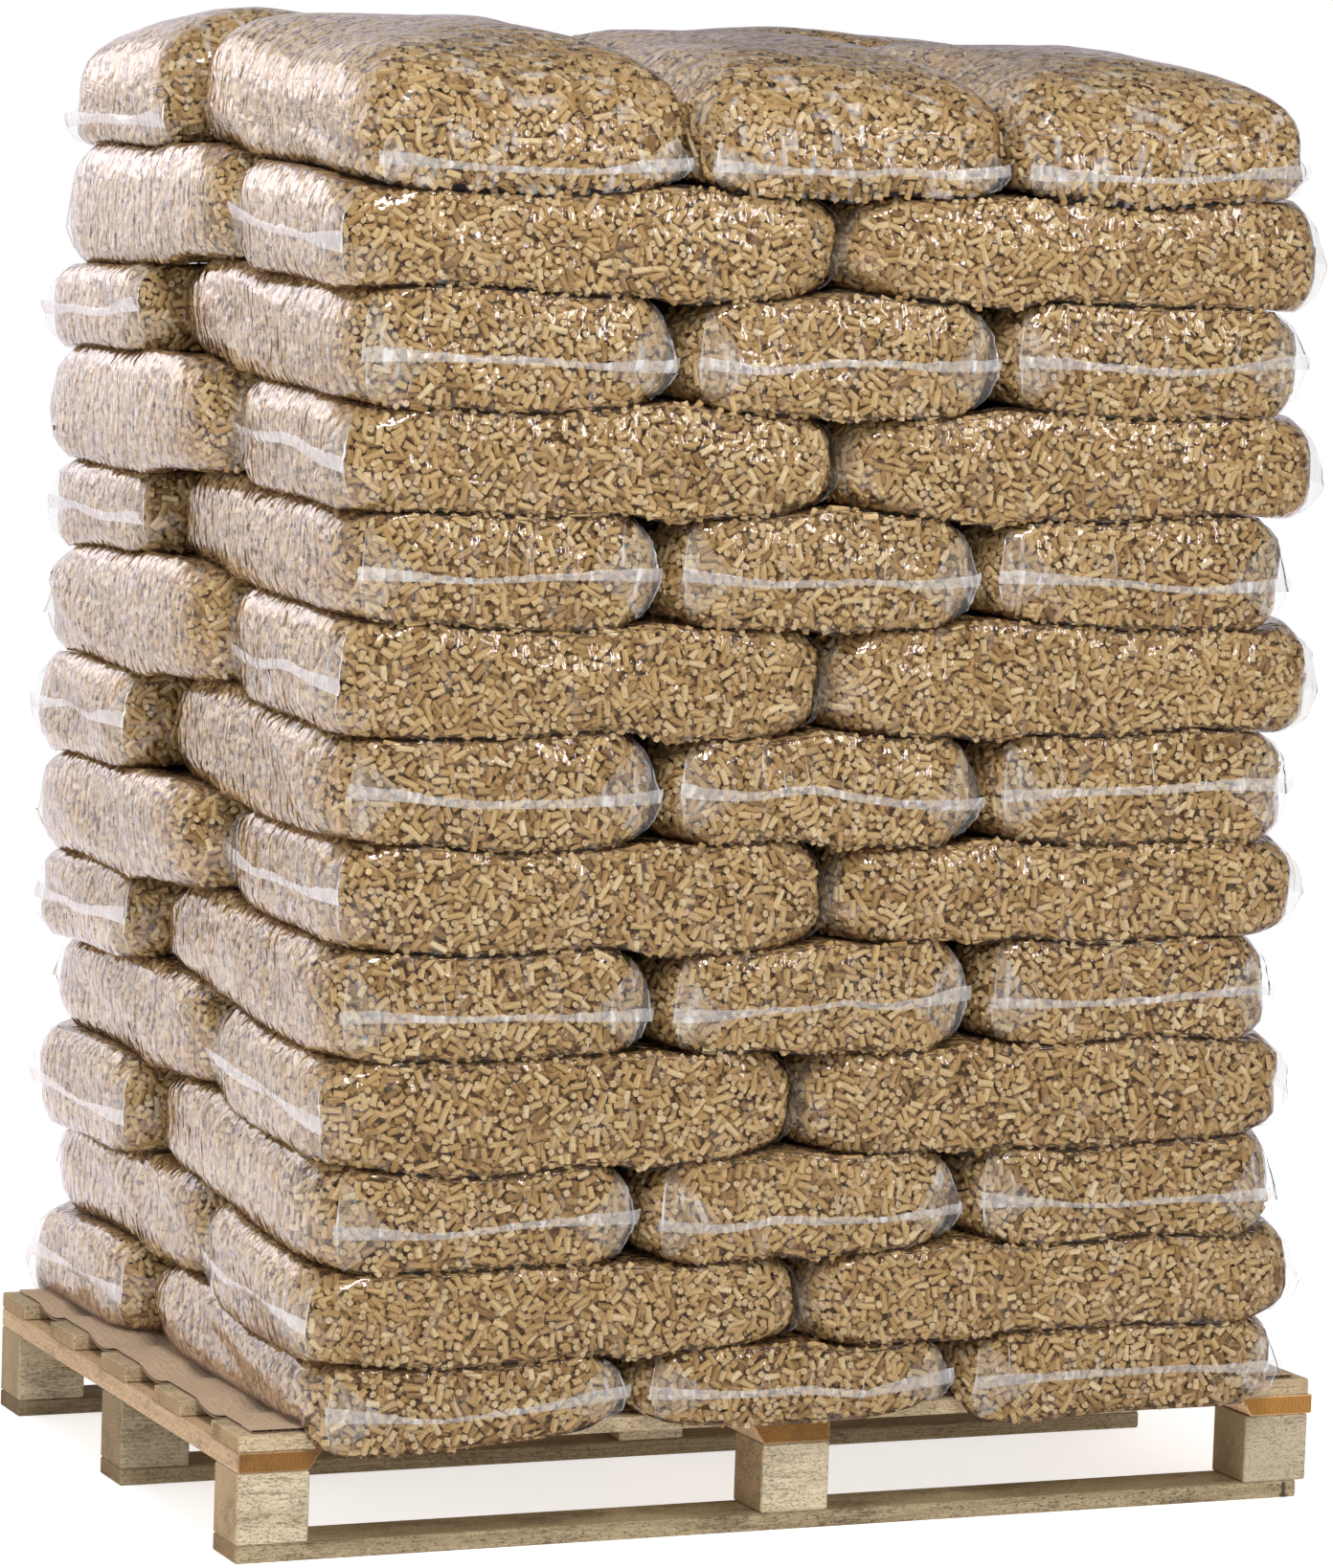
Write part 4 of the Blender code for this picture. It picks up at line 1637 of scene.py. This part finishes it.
@dataclass(frozen=True)
class EndSeam:
    """The welded end of a sack: the seam strip, the pulled-out film corners and small creases.

    Args:
        form: the sack's surface.
        rng: random source.
        height: height of the seam on the end, as a value of q.
        strip: height of the strip at its ends.
        thin: its height in the middle.
        tab: how far its ends reach past the flat middle of the end.
        shy: share of that reach at the end's other side, where the next sack lies close.
        corner: how far the folded corners reach past it.
        stand_off: how far the strip stands off the film.
        rounding: how far the sack's round corner reaches in along the end.
        fold: how far the folded corners reach in along the seam.
        climb: how far their tips lie towards the sack's corner.
        creases: how many small creases lie across the seam.
        crease_length: shortest and longest crease.
    """

    form: SackForm
    rng: Rng
    height: float
    strip: float
    thin: float
    tab: float
    shy: float
    corner: float = 0.025
    stand_off: float = 0.0022
    rounding: float = 0.034
    fold: float = 0.044
    climb: float = 0.012
    creases: int = 16
    crease_length: Pair = (0.014, 0.052)

    WAVE = 0.07
    CRUMPLE = 0.0007
    STRIP_COLUMNS = 40
    STRIP_BULGE = 0.0012
    STRIP_REACH = (0.45, 1.0)
    TAB_REACH = (0.65, 1.0)
    CORNER_GRID = (10, 6)
    CORNER_TIP = (0.86, 0.97)
    FOLD_SPREAD = (0.6, 1.25)
    CORNER_SPREAD = (0.82, 1.10)
    CORNER_LIFT = (0.0008, 0.0022)
    HEM = (0.0006, 0.22)
    CREASE_ROWS = 5
    CREASE_LIMIT = 0.93
    CREASE_PLACE = (-0.92, 0.92)
    CREASE_WIDTH = (0.0004, 0.0009)
    CREASE_UPWARDS = 0.62
    CREASE_DOWN = 0.6

    def build(self) -> tuple[Array, Array, Array]:
        """Makes the strip, the folded corners and the creases.

        Returns:
            Points, faces, and the finish of each face: 0 for the seam film, which the strip, the hems and
            the creases take, and 1 for folded film. On the hems and creases the milky seam film paints
            bright lines: painted highlights.
        """
        parts = [(self.strip_part(), 0)]
        corners = [self.corner_part(side, up) for side in (-1, 1) for up in (-1, 1)]
        parts += [(corner, 1) for corner in corners]
        # Hems and creases take the milky seam film, which draws them as bright lines: painted highlights
        # on real folds and creases.
        parts += [(self.hem_painted_highlight_part(corner[0]), 0) for corner in corners]
        parts += [(self.crease_painted_glint_part(), 0) for _ in range(self.creases)]
        points, quads = join_grids([part for part, _ in parts])
        finish = [np.full(len(part[1]), kind) for part, kind in parts]
        return points, quads, np.concatenate(finish)

    def inner_corners(self) -> Grid:
        """Makes the folded corners of a lengthwise sack's inner end that show in the joint.

        Returns:
            Points and faces.
        """
        turned = copy.copy(self.form)
        to_left = turned.plan.end is Side.LEFT
        turned.plan = replace(turned.plan, end=Side.RIGHT if to_left else Side.LEFT)
        inner = replace(self, form=turned)
        side = 1 if turned.plan.at_back == to_left else -1
        return join_grids([inner.corner_part(side, up) for up in (-1, 1)])

    def seam_height(self, share: Array) -> Array:
        """Gives the seam's height along the end, where share runs from -1 to 1.

        Args:
            share: places along the end.

        Returns:
            The value of q at each.
        """
        phase = self.form.middle[0] * 31 + self.form.middle[1] * 17 + self.form.plan.layer
        waves = np.sin(1.9 * share + phase) + 0.5 * np.sin(5.1 * share + 3 * phase)
        return self.height + self.WAVE * waves

    def flat_half(self) -> float:
        """Gives half the width of the flat middle of the end."""
        return self.form.end_half_width() - self.rounding

    def strip_part(self) -> Grid:
        """Makes the welded strip across the end.

        Returns:
            Points and faces.
        """
        form, rng, count = self.form, self.rng, self.STRIP_COLUMNS
        share = np.linspace(-1, 1, count)
        s = form.end_middle() + share * self.flat_half()
        here, along, up, out = form.frame(s, self.seam_height(share))
        ends = smooth_step(np.abs(share), *self.STRIP_REACH)
        tall = self.thin + (self.strip - self.thin) * ends + rng.normal(0, self.CRUMPLE, count)
        lean = rng.uniform(-0.3, 0.3) + 0.3 * np.sin(share * rng.uniform(2, 5) + rng.uniform(0, 6))
        reach = np.where(share > 0, self.tab, -self.tab * self.shy)
        reach = smooth_step(np.abs(share), *self.TAB_REACH) * reach
        foot = here + out * self.stand_off + along[count // 2] * reach[:, None]
        upright = up * np.cos(lean)[:, None] + out * np.abs(np.sin(lean))[:, None] * 0.6
        crest = foot + upright * tall[:, None]
        middle = (foot + crest) / 2 + out * self.STRIP_BULGE
        points = np.stack([foot, middle, crest], 1).reshape(-1, 3)
        return points, strip_quads(count, 3)

    def corner_part(self, side: int, up: int) -> Grid:
        """Makes one triangle of folded film between the seam's end and a corner of the sack.

        Args:
            side: which end of the seam, -1 or 1.
            up: -1 for the lower corner, 1 for the upper one.

        Returns:
            Points and faces.
        """
        form, rng = self.form, self.rng
        rows, columns = self.CORNER_GRID
        down = np.repeat(np.linspace(0, 1, rows), columns)
        across = np.tile(np.linspace(0, 1, columns), rows)
        seam = float(self.seam_height(np.array([float(side)]))[0])
        tip = up * rng.uniform(*self.CORNER_TIP)
        inner = self.fold * rng.uniform(*self.FOLD_SPREAD) * (1 - down)
        s = form.end_middle() + side * (self.flat_half() + self.climb * down - inner * (1 - across))
        q = seam + (tip - seam) * down
        here, _, _, out = form.frame(s, q)
        sideways = form.frame(np.array([form.end_middle()]), np.zeros(1))[1][0]
        outer = self.corner * (1.0 if side > 0 else self.shy)
        outer = outer * rng.uniform(*self.CORNER_SPREAD) * (1 - down) ** 0.9
        crumple = rng.normal(0, self.CRUMPLE, len(down)) * (across > 0)
        low, high = self.CORNER_LIFT
        lift = low + high * np.sin(math.pi * np.minimum(across, 0.75)) * (1 - down) + crumple
        reach = sideways * side * (outer * smooth_step(across, 0.20, 1.0))[:, None]
        points = here + out * np.maximum(lift, 0.0005)[:, None] + reach
        return points, strip_quads(rows, columns)

    def hem_painted_highlight_part(self, corner: Array) -> Grid:
        """Makes the thin hem along the outer edge of a folded corner, in the milky seam film, so that the
        edge shows as a bright line: a real fold edge with a painted highlight.

        Args:
            corner: points of the folded corner.

        Returns:
            Points and faces.
        """
        lift, share = self.HEM
        grid = corner.reshape(*self.CORNER_GRID, 3)
        edge = grid[:, -1] + np.array([*self.form.plan.end.value, 0.0]) * lift
        inner = edge + (grid[:, -2] - grid[:, -1]) * share
        return np.stack([inner, edge], 1).reshape(-1, 3), strip_quads(len(edge), 2)

    def crease_painted_glint_part(self) -> Grid:
        """Makes one thin raised crease that runs away from the seam, in the milky seam film, so that it
        shows as a whitish line: a real crease with a painted glint.

        Returns:
            Points and faces.
        """
        form, rng, count = self.form, self.rng, self.CREASE_ROWS
        at = rng.uniform(*self.CREASE_PLACE)
        start = float(self.seam_height(np.array([at]))[0])
        up = 1 if rng.uniform() < self.CREASE_UPWARDS else -1
        length = rng.uniform(*self.crease_length) * (1.0 if up > 0 else self.CREASE_DOWN)
        share = np.linspace(0, 1, count)
        q = start + up * (0.10 + share * length / self.crease_length[1])
        slant = rng.normal(0, 0.25) + at * 0.3
        s = form.end_middle() + at * self.flat_half() + slant * length * share * up
        s = s + rng.normal(0, 0.004) * np.sin(share * math.pi)
        here, along, _, out = form.frame(s, np.clip(q, -self.CREASE_LIMIT, self.CREASE_LIMIT))
        wide = rng.uniform(*self.CREASE_WIDTH) * np.sin(math.pi * np.clip(share, 0.06, 0.94))
        ridge = here + out * (0.0004 + wide[:, None] * 1.3)
        foot, aside = here + out * 0.0003, along * wide[:, None]
        points = np.stack([foot + aside, ridge, foot - aside], 1).reshape(-1, 3)
        return points, strip_quads(count, 3)


def strip_quads(rows: int, columns: int) -> Array:
    """Gives the faces of a grid of points that is stored row by row.

    Args:
        rows: number of rows.
        columns: points in a row.

    Returns:
        The faces.
    """
    corners = np.arange(rows * columns).reshape(rows, columns)
    around = (corners[:-1, :-1], corners[1:, :-1], corners[1:, 1:], corners[:-1, 1:])
    return np.stack(around, -1).reshape(-1, 4)


def join_grids(grids: Sequence[Grid]) -> Grid:
    """Joins grids of points into one array of points and one of faces.

    Args:
        grids: points and faces of each grid.

    Returns:
        All points and all faces.
    """
    starts = np.cumsum([0, *(len(points) for points, _ in grids)])
    quads = [faces + start for (_, faces), start in zip(grids, starts)]
    return np.concatenate([points for points, _ in grids]), np.concatenate(quads)


@dataclass
class SackStack:
    """The whole load of sacks.

    Args:
        layout: where the sacks lie.
        seed: start of every random draw.
    """

    layout: StackLayout = field(default_factory=StackLayout)
    seed: int = 20

    TABS = {Side.FRONT: 0.026, Side.LEFT: 0.026, Side.BACK: 0.012, Side.RIGHT: -0.006}
    SIDE_SEAM = (1.3, 1.0)
    FRONT_SEAM = (1.0, 0.8)
    SEAM_HEIGHT = (-0.30, -0.12)
    STRIP = (0.012, 0.016)
    THIN = (0.0065, 0.0090)
    TIGHT = 0.85
    FINE_CREASE = 84.0
    SLOW_CREASE = 25.0
    SEAM_CREASE = (120.0, 120.0, 22.0)
    TOP_RISE = 0.07

    def build(self) -> None:
        """Builds and dresses every sack, layer by layer."""
        rng = np.random.default_rng(self.seed)
        creases = FilmCreases()
        film, top_film, seam_film, side_seam_painted_light_film, fold_film = (
            finish.build(creases)
            for finish in (SKIN_FILM, TOP_FILM, SEAM_FILM, SIDE_SEAM_PAINTED_LIGHT_FILM, FOLD_FILM))
        pellets = PelletFinish().build()
        core = CoreFinish().build()
        forms = [SackForm(plan, self.layout, rng) for index in range(len(LAYERS))
                 for plan in self.layout.sacks(index)]
        shells = [(TOP_FILM_SHELL if form.is_top else FILM_SHELL).build(form) for form in forms]
        daylight = Daylight(shells, self.layout)
        thrown = PelletCarpet()
        filling = Filling(Carpet(thrown.width, thrown.height, thrown.throw(rng)))
        for index in range(len(LAYERS)):
            heap = PelletHeap()
            cores: list[Skin] = []
            for form, shell in zip(forms, shells):
                if form.plan.layer != index:
                    continue
                filling.fill(form, heap, daylight, rng)
                cores.append((TOP_CORE_SHELL if form.is_top else CORE_SHELL).build(form))
                self.build_film(form, shell, top_film if form.is_top else film, index)
                # Lengthwise sacks take the milkier seam film: painted light.
                welded = side_seam_painted_light_film if form.plan.lengthwise else seam_film
                self.build_seam(form, [welded, fold_film], rng)
            self.build_filling(index, heap, cores, pellets, core)

    def build_film(self, form: SackForm, shell: Skin, film: Material, index: int) -> None:
        """Builds the clear skin of one sack.

        Args:
            form: the sack's surface.
            shell: its points and faces.
            film: its material.
            index: the layer's number.
        """
        points, faces = shell
        mesh = bpy.data.meshes.new(form.plan.name)
        mesh.from_pydata(points.tolist(), [], faces)
        mesh.shade_smooth()
        self.add_drape(mesh, points, form)
        piece = place_piece(mesh, [film])
        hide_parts(f"sack_layer_{index + 1:02d}")

    def add_drape(self, mesh: Mesh, points: Array, form: SackForm) -> None:
        """Stores the direction in which the film's wrinkles run, as stretched coordinates.

        Args:
            mesh: the mesh.
            points: its points.
            form: the sack's surface.
        """
        fine, slow = self.FINE_CREASE, self.SLOW_CREASE
        local = points - (*form.middle, 0.0)
        drape = local * (fine, fine, slow)
        if form.is_top:
            along = 0 if form.plan.lengthwise else 1
            flat = local * np.where(np.arange(3) == along, fine, slow)
            on_top = points[:, 2] > points[:, 2].min() + self.TOP_RISE
            drape = np.where(on_top[:, None], flat, drape)
        store(mesh, "drape", drape)

    def build_seam(self, form: SackForm, films: Sequence[Material], rng: Rng) -> None:
        """Builds the welded and folded end of one sack.

        Args:
            form: the sack's surface.
            films: materials of the seam and of the folds.
            rng: random source.
        """
        taller, shy = self.SIDE_SEAM if form.plan.lengthwise else self.FRONT_SEAM
        seam = EndSeam(form, rng, height=rng.uniform(*self.SEAM_HEIGHT),
                       strip=taller * rng.uniform(*self.STRIP), thin=taller * rng.uniform(*self.THIN),
                       tab=self.TABS[form.plan.end], shy=shy)
        points, quads, finish = seam.build()
        if form.plan.lengthwise:
            inner = seam.inner_corners()
            points, quads = join_grids([(points, quads), inner])
            finish = np.concatenate([finish, np.ones(len(inner[1]), int)])
        mesh = quad_mesh(f"{form.plan.name}_seam", points, quads, np.ones(len(quads), bool))
        mesh.polygons.foreach_set("material_index", finish.astype(np.int32))
        store(mesh, "drape", points * self.SEAM_CREASE)
        place_piece(mesh, films)

    def build_filling(self, index: int, heap: PelletHeap, cores: Sequence[Skin],
                      pellets: Material, core: Material) -> None:
        """Builds the pellets that show in one layer, and the dark cores behind them.

        Args:
            index: the layer's number.
            heap: the layer's pellets.
            cores: points and faces of each core.
            pellets: the pellets' material.
            core: the cores' material.
        """
        name = f"pellets_layer_{index + 1:02d}"
        piece = place_piece(heap.mesh(name), [pellets])
        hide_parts(f"sack_layer_{index + 1:02d}")
        points, faces = join_shells(cores)
        mesh = bpy.data.meshes.new(f"core_layer_{index + 1:02d}")
        mesh.from_pydata(points, [], faces)
        mesh.shade_smooth()
        place_piece(mesh, [core])
        log.info("layer %d holds %d pellets", index + 1, heap.total)


TIMBERS = {
    "skid": Timber((0.52, 0.41, 0.245), (0.29, 0.205, 0.105), 0.92, Grain.ALONG_X),
    "block": Timber((0.84, 0.71, 0.500), (0.62, 0.490, 0.310), 0.74, Grain.ALONG_X),
    "stringer": Timber((0.74, 0.50, 0.300), (0.57, 0.350, 0.190), 0.54, Grain.ALONG_Y,
                       end_tint=(0.44, 0.29, 0.066)),
    "deck": Timber((0.71, 0.56, 0.360), (0.48, 0.345, 0.190), 0.80, Grain.ALONG_X),
}


@dataclass(frozen=True)
class Pallet:
    """The pallet's boards and blocks, each cut from its own log.

    Args:
        seed: start of every random draw.
        shade: how much lighter or darker than its kind a board may be.
        heart_aside: how far to the side of a board its log's heart may lie.
        heart_below: how far below it the heart may lie.
        painted_light_and_shade: how much lighter or darker some boards are painted, by name: painted
            light where light falls on them and painted shade where shade lies on them.
    """

    seed: int = 7
    shade: Pair = (0.92, 1.06)
    heart_aside: Pair = (-0.05, 0.05)
    heart_below: Pair = (-0.22, -0.05)
    # Painted light and shade: these boards are painted lighter or darker by name, standing in for the
    # light and shade on them, such as the deck's shadow on the middle left block.
    painted_light_and_shade: tuple[tuple[str, float], ...] = (
        ("block_front_left", 0.96), ("block_front_right", 0.78), ("block_middle_left", 0.62),
        ("block_rear_left", 0.80), ("skid_middle", 0.78), ("skid_rear", 0.62), ("stringer_centre", 1.14),
        ("stringer_right", 1.55))

    def build(self, nodes: dict[str, bpy.types.Object]) -> None:
        """Gives every board and block its own piece of wood.

        Args:
            nodes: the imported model's pieces, by name.
        """
        wood = SolidWood()
        rng = np.random.default_rng(self.seed)
        painted_light_and_shade = dict(self.painted_light_and_shade)
        for name in sorted(nodes):
            timber = TIMBERS.get(name.split("_")[0])
            if timber is None:
                continue
            # The board's own random tone, times the painted light or shade that the table gives it.
            shade = rng.uniform(*self.shade) * painted_light_and_shade.get(name, 1.0)
            heart = (float(rng.uniform(*self.heart_aside)), float(rng.uniform(*self.heart_below)))
            materials = nodes[name].data.materials
            materials.clear()
            materials.append(WoodFinish(f"{name}_wood", timber, shade, heart).build(wood))
            log.info("%s dressed", name)


@dataclass(frozen=True)
class SkidNail:
    """The one nail that shows: it came out at the front skid's face, near its right end.

    Args:
        head: radius of its head.
        shank: radius of its shank.
        point: radius where its ends are closed.
        sides: number of sides that it is drawn with.
        inset: how far it lies from the skid's right end.
        bare: how far its middle lies before the skid's face.
    """

    head: float = 0.0040
    shank: float = 0.0019
    point: float = 0.0001
    sides: int = 16
    inset: float = 0.0150
    bare: float = 0.0002

    def build(self) -> None:
        """Builds the nail, half sunk in the wood."""
        low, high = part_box("skid_front")
        profile = ((self.point, 0.0012), (self.head, 0.0014), (self.head, 0.0030), (self.shank, 0.0042),
                   (self.shank, high.z - 0.0012), (self.point, high.z - 0.0010))
        turn = np.linspace(0, 2 * math.pi, self.sides + 1)
        rings = [np.stack([radius * np.cos(turn), radius * np.sin(turn), np.full_like(turn, height)], 1)
                 for radius, height in profile]
        points = np.concatenate(rings) + (high.x - self.inset, low.y - self.bare, 0.0)
        quads = strip_quads(len(profile), len(turn))[:, ::-1]
        mesh = quad_mesh("skid_nail", points, quads, np.zeros(len(quads), bool))
        place_piece(mesh, [SteelFinish().build()])


@dataclass(frozen=True)
class SlipSheet:
    """The corrugated cardboard sheet on the deck.

    Args:
        thickness: of the whole board.
        liner: thickness of one liner.
        flute_pitch: distance between flutes.
        flute_depth: how far in the open flutes are modelled.
        flute_inset: how far the flutes lie inside the cut edge.
        rows: number of points from front to back.
        deck_top: height of the deck boards' tops.
        deep: how far the sheet sags between the boards.
        board_pitch: distance from one board's middle to the next.
        first_board: distance of the first board's middle from the deck's middle.
    """

    thickness: float = 0.0032
    liner: float = 0.0004
    flute_pitch: float = 0.008
    flute_depth: float = 0.030
    flute_inset: float = 0.0006
    rows: int = 70
    deck_top: float = 0.127
    deep: float = 0.0068
    board_pitch: float = 0.179
    first_board: float = 0.358

    def build(self, node: str) -> None:
        """Builds the two liners and the flutes that show at the cut edges.

        Args:
            node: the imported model's name for the sheet.
        """
        low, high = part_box(node)
        finish = CardboardFinish(flute_pitch=self.flute_pitch).build()
        y = np.linspace(low.y, high.y, self.rows)
        liners = ((0.0, self.liner), (self.thickness - self.liner, self.thickness))
        grids = [self.slab(low.x, high.x, y, bottom, top) for bottom, top in liners]
        for near in (low.y + self.flute_inset, high.y - self.flute_inset - self.flute_depth):
            grids.append(self.flutes(low.x, high.x, np.linspace(near, near + self.flute_depth, 3)))
        points, faces = join_grids(grids)
        mesh = quad_mesh("slip_sheet_board", points, faces, np.zeros(len(faces), bool))
        piece = place_piece(mesh, [finish])
        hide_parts(node)

    def sag(self, y: Array) -> Array:
        """Gives the height of the sheet's underside, which sags between the deck boards.

        Args:
            y: places across the deck.

        Returns:
            The height at each.
        """
        place = (y + self.first_board) / self.board_pitch
        into_gap = np.sin(math.pi * (2 * np.mod(place, 1.0) - 0.5))
        return self.deck_top - self.deep * np.maximum(0.0, into_gap)

    def slab(self, left: float, right: float, y: Array, bottom: float, top: float) -> Grid:
        """Gives one liner, as closed loops across the sheet.

        Args:
            left: x of the left edge.
            right: x of the right edge.
            y: places from front to back.
            bottom: its underside's height in the sheet.
            top: its top's height in the sheet.

        Returns:
            Points and faces.
        """
        floor = self.sag(y)
        corners = [(left, bottom), (right, bottom), (right, top), (left, top), (left, bottom)]
        loops = [np.stack([np.full_like(y, x), y, floor + z], 1) for x, z in corners]
        return np.stack(loops, 1).reshape(-1, 3), strip_quads(len(y), len(corners))

    def flutes(self, left: float, right: float, y: Array) -> Grid:
        """Gives the wavy middle layer over a short stretch of y.

        Args:
            left: x of the left edge.
            right: x of the right edge.
            y: places from front to back.

        Returns:
            Points and faces.
        """
        count = int((right - left) / self.flute_pitch) * 6
        x = np.linspace(left, right, count)
        wave = (np.sin(2 * math.pi * x / self.flute_pitch) + 1) / 2 * (self.thickness - 2 * self.liner)
        rows = [np.stack([x, np.full_like(x, at), wave + self.liner + base], 1)
                for at, base in zip(y, self.sag(y))]
        return np.concatenate(rows), strip_quads(len(y), count)


@dataclass(frozen=True)
class Softbox:
    """A soft light that looks at a point, with its power in watts."""

    name: str
    place: Point
    aim: Point
    size: Pair
    power: float
    mirrored: bool = True

    def hang(self) -> None:
        """Hangs the light."""
        light = bpy.data.lights.new(self.name, "AREA")
        light.shape = "RECTANGLE"
        light.size, light.size_y = self.size
        light.energy = self.power
        box = bpy.data.objects.new(self.name, light)
        turned = (Vector(self.aim) - Vector(self.place)).to_track_quat("-Z", "Y").to_matrix().to_4x4()
        box.matrix_world = Matrix.Translation(self.place) @ turned
        bpy.context.scene.collection.objects.link(box)
        box.visible_glossy = self.mirrored


SOFTBOXES = (
    Softbox("back", (-2.4, 4.8, 2.9), (-0.3, 0.0, 0.9), (3.2, 1.8), 26.0),
    Softbox("overhead", (-0.9, -2.6, 4.2), (0.0, 0.0, 0.6), (0.8, 0.6), 54.0),
    Softbox("spark", (1.75, -3.9, 2.25), (0.0, 0.0, 0.8), (0.46, 0.55), 10.0),
    Softbox("key", (-1.2, -4.8, 4.6), (0.0, 0.0, 0.7), (1.6, 1.2), 97.0, mirrored=False),
    Softbox("left", (-5.0, 1.0, 1.8), (-0.5, 0.0, 0.8), (1.6, 1.6), 33.0, mirrored=False),
)


@dataclass(frozen=True)
class Studio:
    """Camera, lights and floor.

    Args:
        place: where the camera stands.
        yaw: how far it looks to the right of +Y, in degrees.
        pitch: how far it looks up, in degrees.
        roll: how far it leans, in degrees.
        focal: focal length in photo pixels.
        white_wall: direction of the white wall that the film mirrors.
        side_wall: direction of the paler wall at the right of it.
        bright: how bright the white wall is.
        dim: how bright the rest of the room is in reflections.
        fill: how much light the room gives.
        floor_reach: how far the floor reaches from the middle.
    """

    place: Point = (-2.280, -5.189, 1.188)
    yaw: float = 23.785
    pitch: float = -4.648
    roll: float = 1.938
    focal: float = 5514.0
    white_wall: Point = (-0.45, 0.89, 0.05)
    side_wall: Point = (0.60, 0.80, 0.0)
    bright: float = 1.08
    dim: float = 0.09
    fill: float = 0.42
    floor_reach: float = 14.0

    def build(self) -> None:
        """Sets the studio up."""
        self.add_camera()
        self.add_floor()
        self.add_world()
        self.limit_bounces()
        for box in SOFTBOXES:
            box.hang()
        view = bpy.context.scene.view_settings
        view.view_transform = "Standard"
        view.look = "None"
        log.info("studio ready")

    def limit_bounces(self) -> None:
        """Stops light after the few bounces that show."""
        settings = bpy.context.scene.cycles
        settings.max_bounces = 3
        settings.diffuse_bounces = 2
        settings.glossy_bounces = 2
        settings.transmission_bounces = 0
        settings.transparent_max_bounces = 10

    def add_camera(self) -> None:
        """Places the camera where the photograph was taken from."""
        yaw, pitch, roll = (math.radians(angle) for angle in (self.yaw, self.pitch, self.roll))
        ahead = math.cos(pitch)
        forward = Vector((math.sin(yaw) * ahead, math.cos(yaw) * ahead, math.sin(pitch)))
        right = Vector((math.cos(yaw), -math.sin(yaw), 0.0))
        up = right.cross(forward)
        leaned_right = right * math.cos(roll) + up * math.sin(roll)
        leaned_up = up * math.cos(roll) - right * math.sin(roll)
        camera = bpy.data.objects.new("camera", bpy.data.cameras.new("camera"))
        camera.data.sensor_width = 36.0
        camera.data.lens = self.focal * camera.data.sensor_width / PHOTO_HEIGHT
        turned = Matrix((leaned_right, leaned_up, -forward)).transposed().to_4x4()
        camera.matrix_world = Matrix.Translation(self.place) @ turned
        bpy.context.scene.collection.objects.link(camera)
        bpy.context.scene.camera = camera

    def add_floor(self) -> None:
        """Lays the floor."""
        corners = ((-1.0, -1.0, 0.0), (1.0, -1.0, 0.0), (1.0, 1.0, 0.0), (-1.0, 1.0, 0.0))
        points = np.array(corners) * self.floor_reach
        mesh = quad_mesh("floor", points, np.array([[0, 1, 2, 3]]), np.array([False]))
        floor = bpy.data.objects.new("floor", mesh)
        mesh.materials.append(FloorFinish().build())
        bpy.context.scene.collection.objects.link(floor)

    def add_world(self) -> None:
        """Fills the room with pale light: white walls behind the load, a dimmer room before it."""
        world = bpy.data.worlds.new("studio")
        bpy.context.scene.world = world
        world.use_nodes = True
        world.node_tree.nodes.clear()
        nodes = Nodes(world.node_tree)
        direction = nodes.add("ShaderNodeTexCoord").outputs["Generated"]
        behind = nodes.facing(direction, self.white_wall)
        mirrored = nodes.spread(behind, 0.50, 0.95, self.dim, self.bright)
        aside = nodes.spread(nodes.facing(direction, self.side_wall), 0.90, 0.985, 0.0, 0.55)
        mirrored = nodes.math("MAXIMUM", mirrored, aside)
        panels = nodes.spread(nodes.noise(direction, 7.0, 0.0), 0.40, 0.60, 0.62, 1.25)
        mirrored = nodes.math("MULTIPLY", mirrored, panels)
        path = nodes.add("ShaderNodeLightPath")
        plain = nodes.spread(path.outputs["Is Camera Ray"], 0.0, 1.0, self.fill, 1.0)
        level = nodes.add("ShaderNodeMix", data_type="FLOAT")
        nodes.feed(level.inputs["Factor"], path.outputs["Is Glossy Ray"])
        nodes.feed(level.inputs[2], plain)
        nodes.feed(level.inputs[3], mirrored)
        links = {"Color": (1.0, 1.0, 1.0, 1.0), "Strength": level.outputs[0]}
        background = nodes.add("ShaderNodeBackground", links)
        nodes.add("ShaderNodeOutputWorld", {"Surface": background.outputs[0]})


def main() -> None:
    """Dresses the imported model."""
    logging.basicConfig(level=logging.INFO, format="%(message)s")
    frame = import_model()
    Studio().build()
    Pallet().build(frame["nodes"])
    SkidNail().build()
    SlipSheet().build("slip_sheet")
    SackStack().build()


if __name__ == "__main__":
    main()
